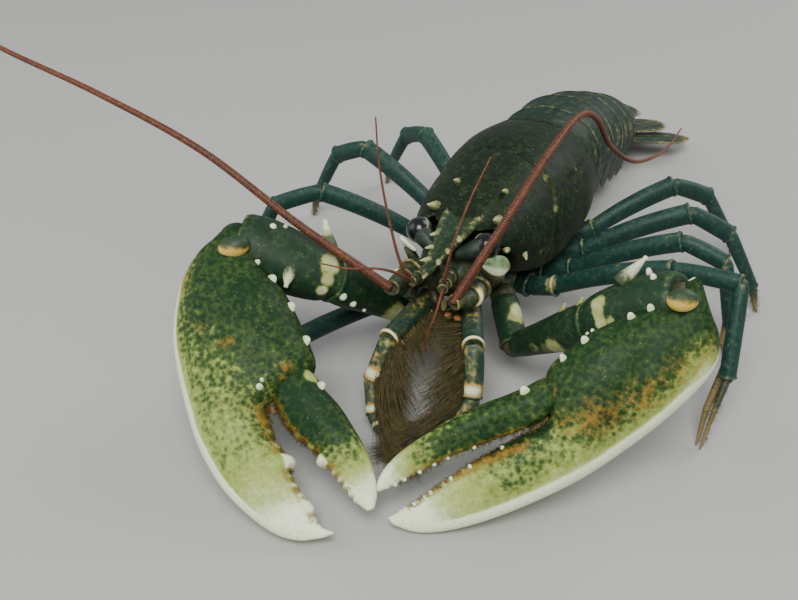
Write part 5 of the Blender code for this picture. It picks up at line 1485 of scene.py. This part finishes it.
def abdomen_ring(start, along, up, length, front, rear):
    """A ring with a groove behind its front band and another before its rear edge, both edges rolled in."""
    share = np.linspace(0, 1, 70)[:, None]
    swell = curve_through(ring_swell, share[:, 0])[:, None]
    half, top, low = (a + (b - a) * share for a, b in zip(front, rear))
    angle = ring_angles(150)
    x, z = ellipse_ring(angle, half * swell, top * swell, low * 0.82, 2.1, 2.8)
    high = np.sin(angle) > -0.1
    groove = bump_at(share, 0.36, 0.030) * 0.55 * high + bump_at(share, 0.90, 0.030) * 0.28 * high
    belly = 0.7 * (np.sin(angle) < -0.5) * (0.5 + 0.5 * np.cos(share * 2 * np.pi * 2))
    squeeze = (1 - (groove + belly) / 20)[..., None]
    across = np.stack([x, 0 * x, 0 * x], -1)
    points = start + along * (share * length)[..., None] + (across + up * z[..., None]) * squeeze
    lips = [points[:1] * (1 - s) + start * s for s in (0.12, 0.04)] + [points]
    for s, forward in ((0.015, -0.1), (0.05, 0.1), (0.10, 1.4)):
        lips.append(points[-1:] * (1 - s) + (start + along * length) * s - along * forward)
    flank = bump_at(np.abs(np.sin(angle)), 0.25, 0.22) * (np.sin(angle) > 0)
    fade = 0.05 + 0.34 * bump_at(share, 0.975, 0.022) * high + 0.10 * bump_at(share, 0.36, 0.05)
    fade = fade + 0.38 * (np.sin(angle) < -0.45) + 0.42 * bump_at(share, 0.72, 0.10) * flank
    fade = np.concatenate([fade[:1]] * 2 + [fade] + [fade[-1:]] * 3)
    return skin(np.concatenate(lips), fade=fade)


def side_plate(root, along, up, outward, length, reach):
    """The pointed plate that hangs from a ring's flank. It tapers towards its rear corner, with a pale
    edge and a shallow hollow down its face."""
    down = np.linspace(0, 1, 44)[:, None]
    fore, aft, thick = np.split(curve_through(plate_keys, down[:, 0]), 3, axis=1)
    half = length * (aft + fore) / 2
    centre = root - up * (reach * down) - outward * (2.2 * down**2) + along * (length * (aft - fore) / 2)
    x, z = ellipse_ring(ring_angles(44), half, thick, thick, 2.4, 2.4)
    z = z * (1 - 0.30 * bump_at(x / half, 0, 0.45) * (z > 0))
    points = centre[:, None] + along * x[..., None] + outward * z[..., None]
    edge = np.abs(x) / half
    fade = 0.08 + 0.55 * smooth_step(0.86, 0.99, edge)
    fade = fade + 0.5 * smooth_step(0.7, 1.0, down) * smooth_step(0.3, 0.9, edge)
    return skin(points, fade=fade)


def swimmeret_blade(root, aim, outward, size, reach):
    """A thin oval blade on a stalk, and the roots and tips of the fringe round its outer end."""
    flat = unit(np.cross(aim, outward))
    across = np.cross(flat, aim)
    down = np.linspace(0, 1, 34)
    wide, thick = curve_through(blade_wide, down) * size, curve_through(blade_thick, down)
    path = root + np.outer(down * reach * size, aim)
    blade = tube(path, wide, thick, flat, 26, fade=(0.3 + 0.4 * down)[:, None])
    share = np.linspace(0.42, 1.0, 26)
    edge_wide = np.interp(share, down, wide)
    roots, tips = [], []
    for way in (1, -1):
        edge = root + np.outer(share * reach * size, aim) + np.outer(edge_wide * way * 0.9, across)
        spray = across * way * (1.1 - share)[:, None] + aim * (0.4 + share)[:, None]
        roots.append(edge)
        tips.append(edge + spray * 1.7 * size + random.normal(0, 0.1, (26, 3)))
    return blade, roots, tips


start = np.array([0.0, 93.4, 44.5])
for k, (length, slope, front, rear) in enumerate(ring_plans):
    along, up = slope_ways(slope)
    middle_half, middle_low = (front[0] + rear[0]) / 2, (front[2] + rear[2]) / 2
    pieces = [abdomen_ring(start, along, up, length, front, rear)]
    blades, fringe_roots, fringe_tips = [], [], []
    for hand in (1, -1):
        outward = np.array([hand, 0, 0.0])
        if k:
            root = start + along * length * 0.47 + outward * (middle_half - 1.9) - up * 3
            pieces.append(side_plate(root, along, up, outward, length, middle_low + (4.5 if k < 5 else 1.5)))
        if k < 5:
            # A stalk with two blades hangs under each side of the ring
            size = 0.62 if k == 0 else 1.0
            root = start + along * length * 0.45 + outward * middle_half * 0.52
            root = root - up * (middle_low * 0.82 - 2.5)
            for spread, reach in ((0.40, 14.5), (-0.30, 13.5)):
                aim = unit(-up * 0.72 + along * 0.78 + outward * spread)
                blade, roots, tips = swimmeret_blade(root, aim, outward, size, reach)
                blades.append(blade)
                fringe_roots += roots
                fringe_tips += tips
    place_piece(f"abdomen_ring_{k + 1}", pieces, abdomen_shell, [f"abdomen_{k + 1}"])
    if blades:
        place_piece(f"swimmerets_{k + 1}", blades, swimmer_shell)
        fringe = bristles(fringe_roots, fringe_tips, (0, 0, 0), 0.08)
        place_piece(f"swimmeret_fringe_{k + 1}", fringe, hair_brown)
    start = start + along * length

# The tail fan
# The middle blade and two blades on each side spread behind the last ring. Each has low ridges, the
# outer pair a toothed hinge line, and all have a fringe of soft bristles along the rear edge.
fan_shell = shell_finish(
    "fan shell", (0.010, 0.030, 0.021), (0.050, 0.065, 0.030), (0.36, 0.28, 0.10), (0.62, 0.50, 0.26),
    grain=330, relief=0.12, coat=0.05, gloss=0.2,
)
aim_back, fan_up = slope_ways(11)
telson_widths = [(0, 9.5), (0.12, 11.2), (0.4, 11.6), (0.7, 10.6), (0.88, 9.0), (0.96, 6.6), (1, 3.6)]
blade_widths = [(0, 3.0), (0.14, 5.4), (0.4, 8.4), (0.68, 9.6), (0.86, 8.2), (0.96, 5.4), (1, 2.4)]


def fan_blade(root, aim, length, widths, thick, suture):
    """A flat blade: thick at its root and thin at its round rear edge. A middle ridge and two side
    ridges run along it, and suture is the share of its length where a toothed hinge line crosses it."""
    side = unit(np.cross(aim, fan_up))
    share = np.sin(np.linspace(0, 1, 110) * np.pi / 2)[:, None]
    wide = curve_through(widths, share[:, 0])[:, None]
    deep = thick * (1.15 - 0.75 * share)
    x, z = ellipse_ring(ring_angles(96), wide, deep, deep * 0.8, 1.7, 2.0)
    cross = x / wide
    ridges = bump_at(cross, 0, 0.09) + 0.6 * bump_at(np.abs(cross), 0.45, 0.08)
    z = z + ridges * 0.35 * (z > 0) * (1 - share)
    if suture:
        line = suture + 0.06 * cross**2
        teeth = bump_at(share, line - 0.022, 0.010) * (0.5 + 0.5 * np.cos(cross * 60)) * 0.3
        z = z + (teeth - bump_at(share, line, 0.012) * 0.35) * (z > 0)
    points = root + aim * (length * share + 0 * x)[..., None] + side * x[..., None] + fan_up * z[..., None]
    fade = 0.08 + 0.32 * smooth_step(0.82, 1.0, share) + 0.30 * smooth_step(0.80, 0.98, np.abs(cross))
    fade = fade + 0.15 * ridges * (z > 0) + 0.35 * (z < -0.3 * deep)
    spread = np.linspace(-0.96, 0.96, 150)
    rim_share = 1 - 0.60 * np.abs(spread) ** 3.2
    rim_wide = curve_through(widths, rim_share) * np.sign(spread) * np.minimum(np.abs(spread) * 1.15, 0.95)
    rim_roots = root + np.outer(length * rim_share * 0.985, aim) + np.outer(rim_wide, side)
    spray = aim + np.outer(spread * 0.8, side)
    rim_tips = rim_roots + spray * 3.2 + random.normal(0, 0.15, (150, 3))
    return skin(points, fade=fade), rim_roots, rim_tips


fan_plans = [("telson", start + fan_up * 3.0 + aim_back * 0.36, aim_back, 34, telson_widths, 2.7, 0.0)]
for hand, label in ((1, "left"), (-1, "right")):
    for part, spread, drop, out, length, suture in (
        ("inner", 19, 2.2, 7.0, 36, 0.0), ("outer", 45, 5.6, 9.2, 37, 0.66),
    ):
        bend = math.radians(spread)
        way = aim_back * math.cos(bend) + np.array([hand, 0, 0]) * math.sin(bend)
        blade_root = start + np.array([hand * out, 0, 0]) - fan_up * drop + aim_back * 0.66
        fan_plans.append((f"uropod_{part}_{label}", blade_root, way, length, blade_widths, 1.7, suture))
for name, *plan in fan_plans:
    blade, rim_roots, rim_tips = fan_blade(*plan)
    place_piece(f"fan_{name}", blade, fan_shell, [name])
    fringe = bristles([rim_roots], [rim_tips], (0, 0, -0.2), 0.09)
    place_piece(f"fan_fringe_{name}", fringe, hair_brown)
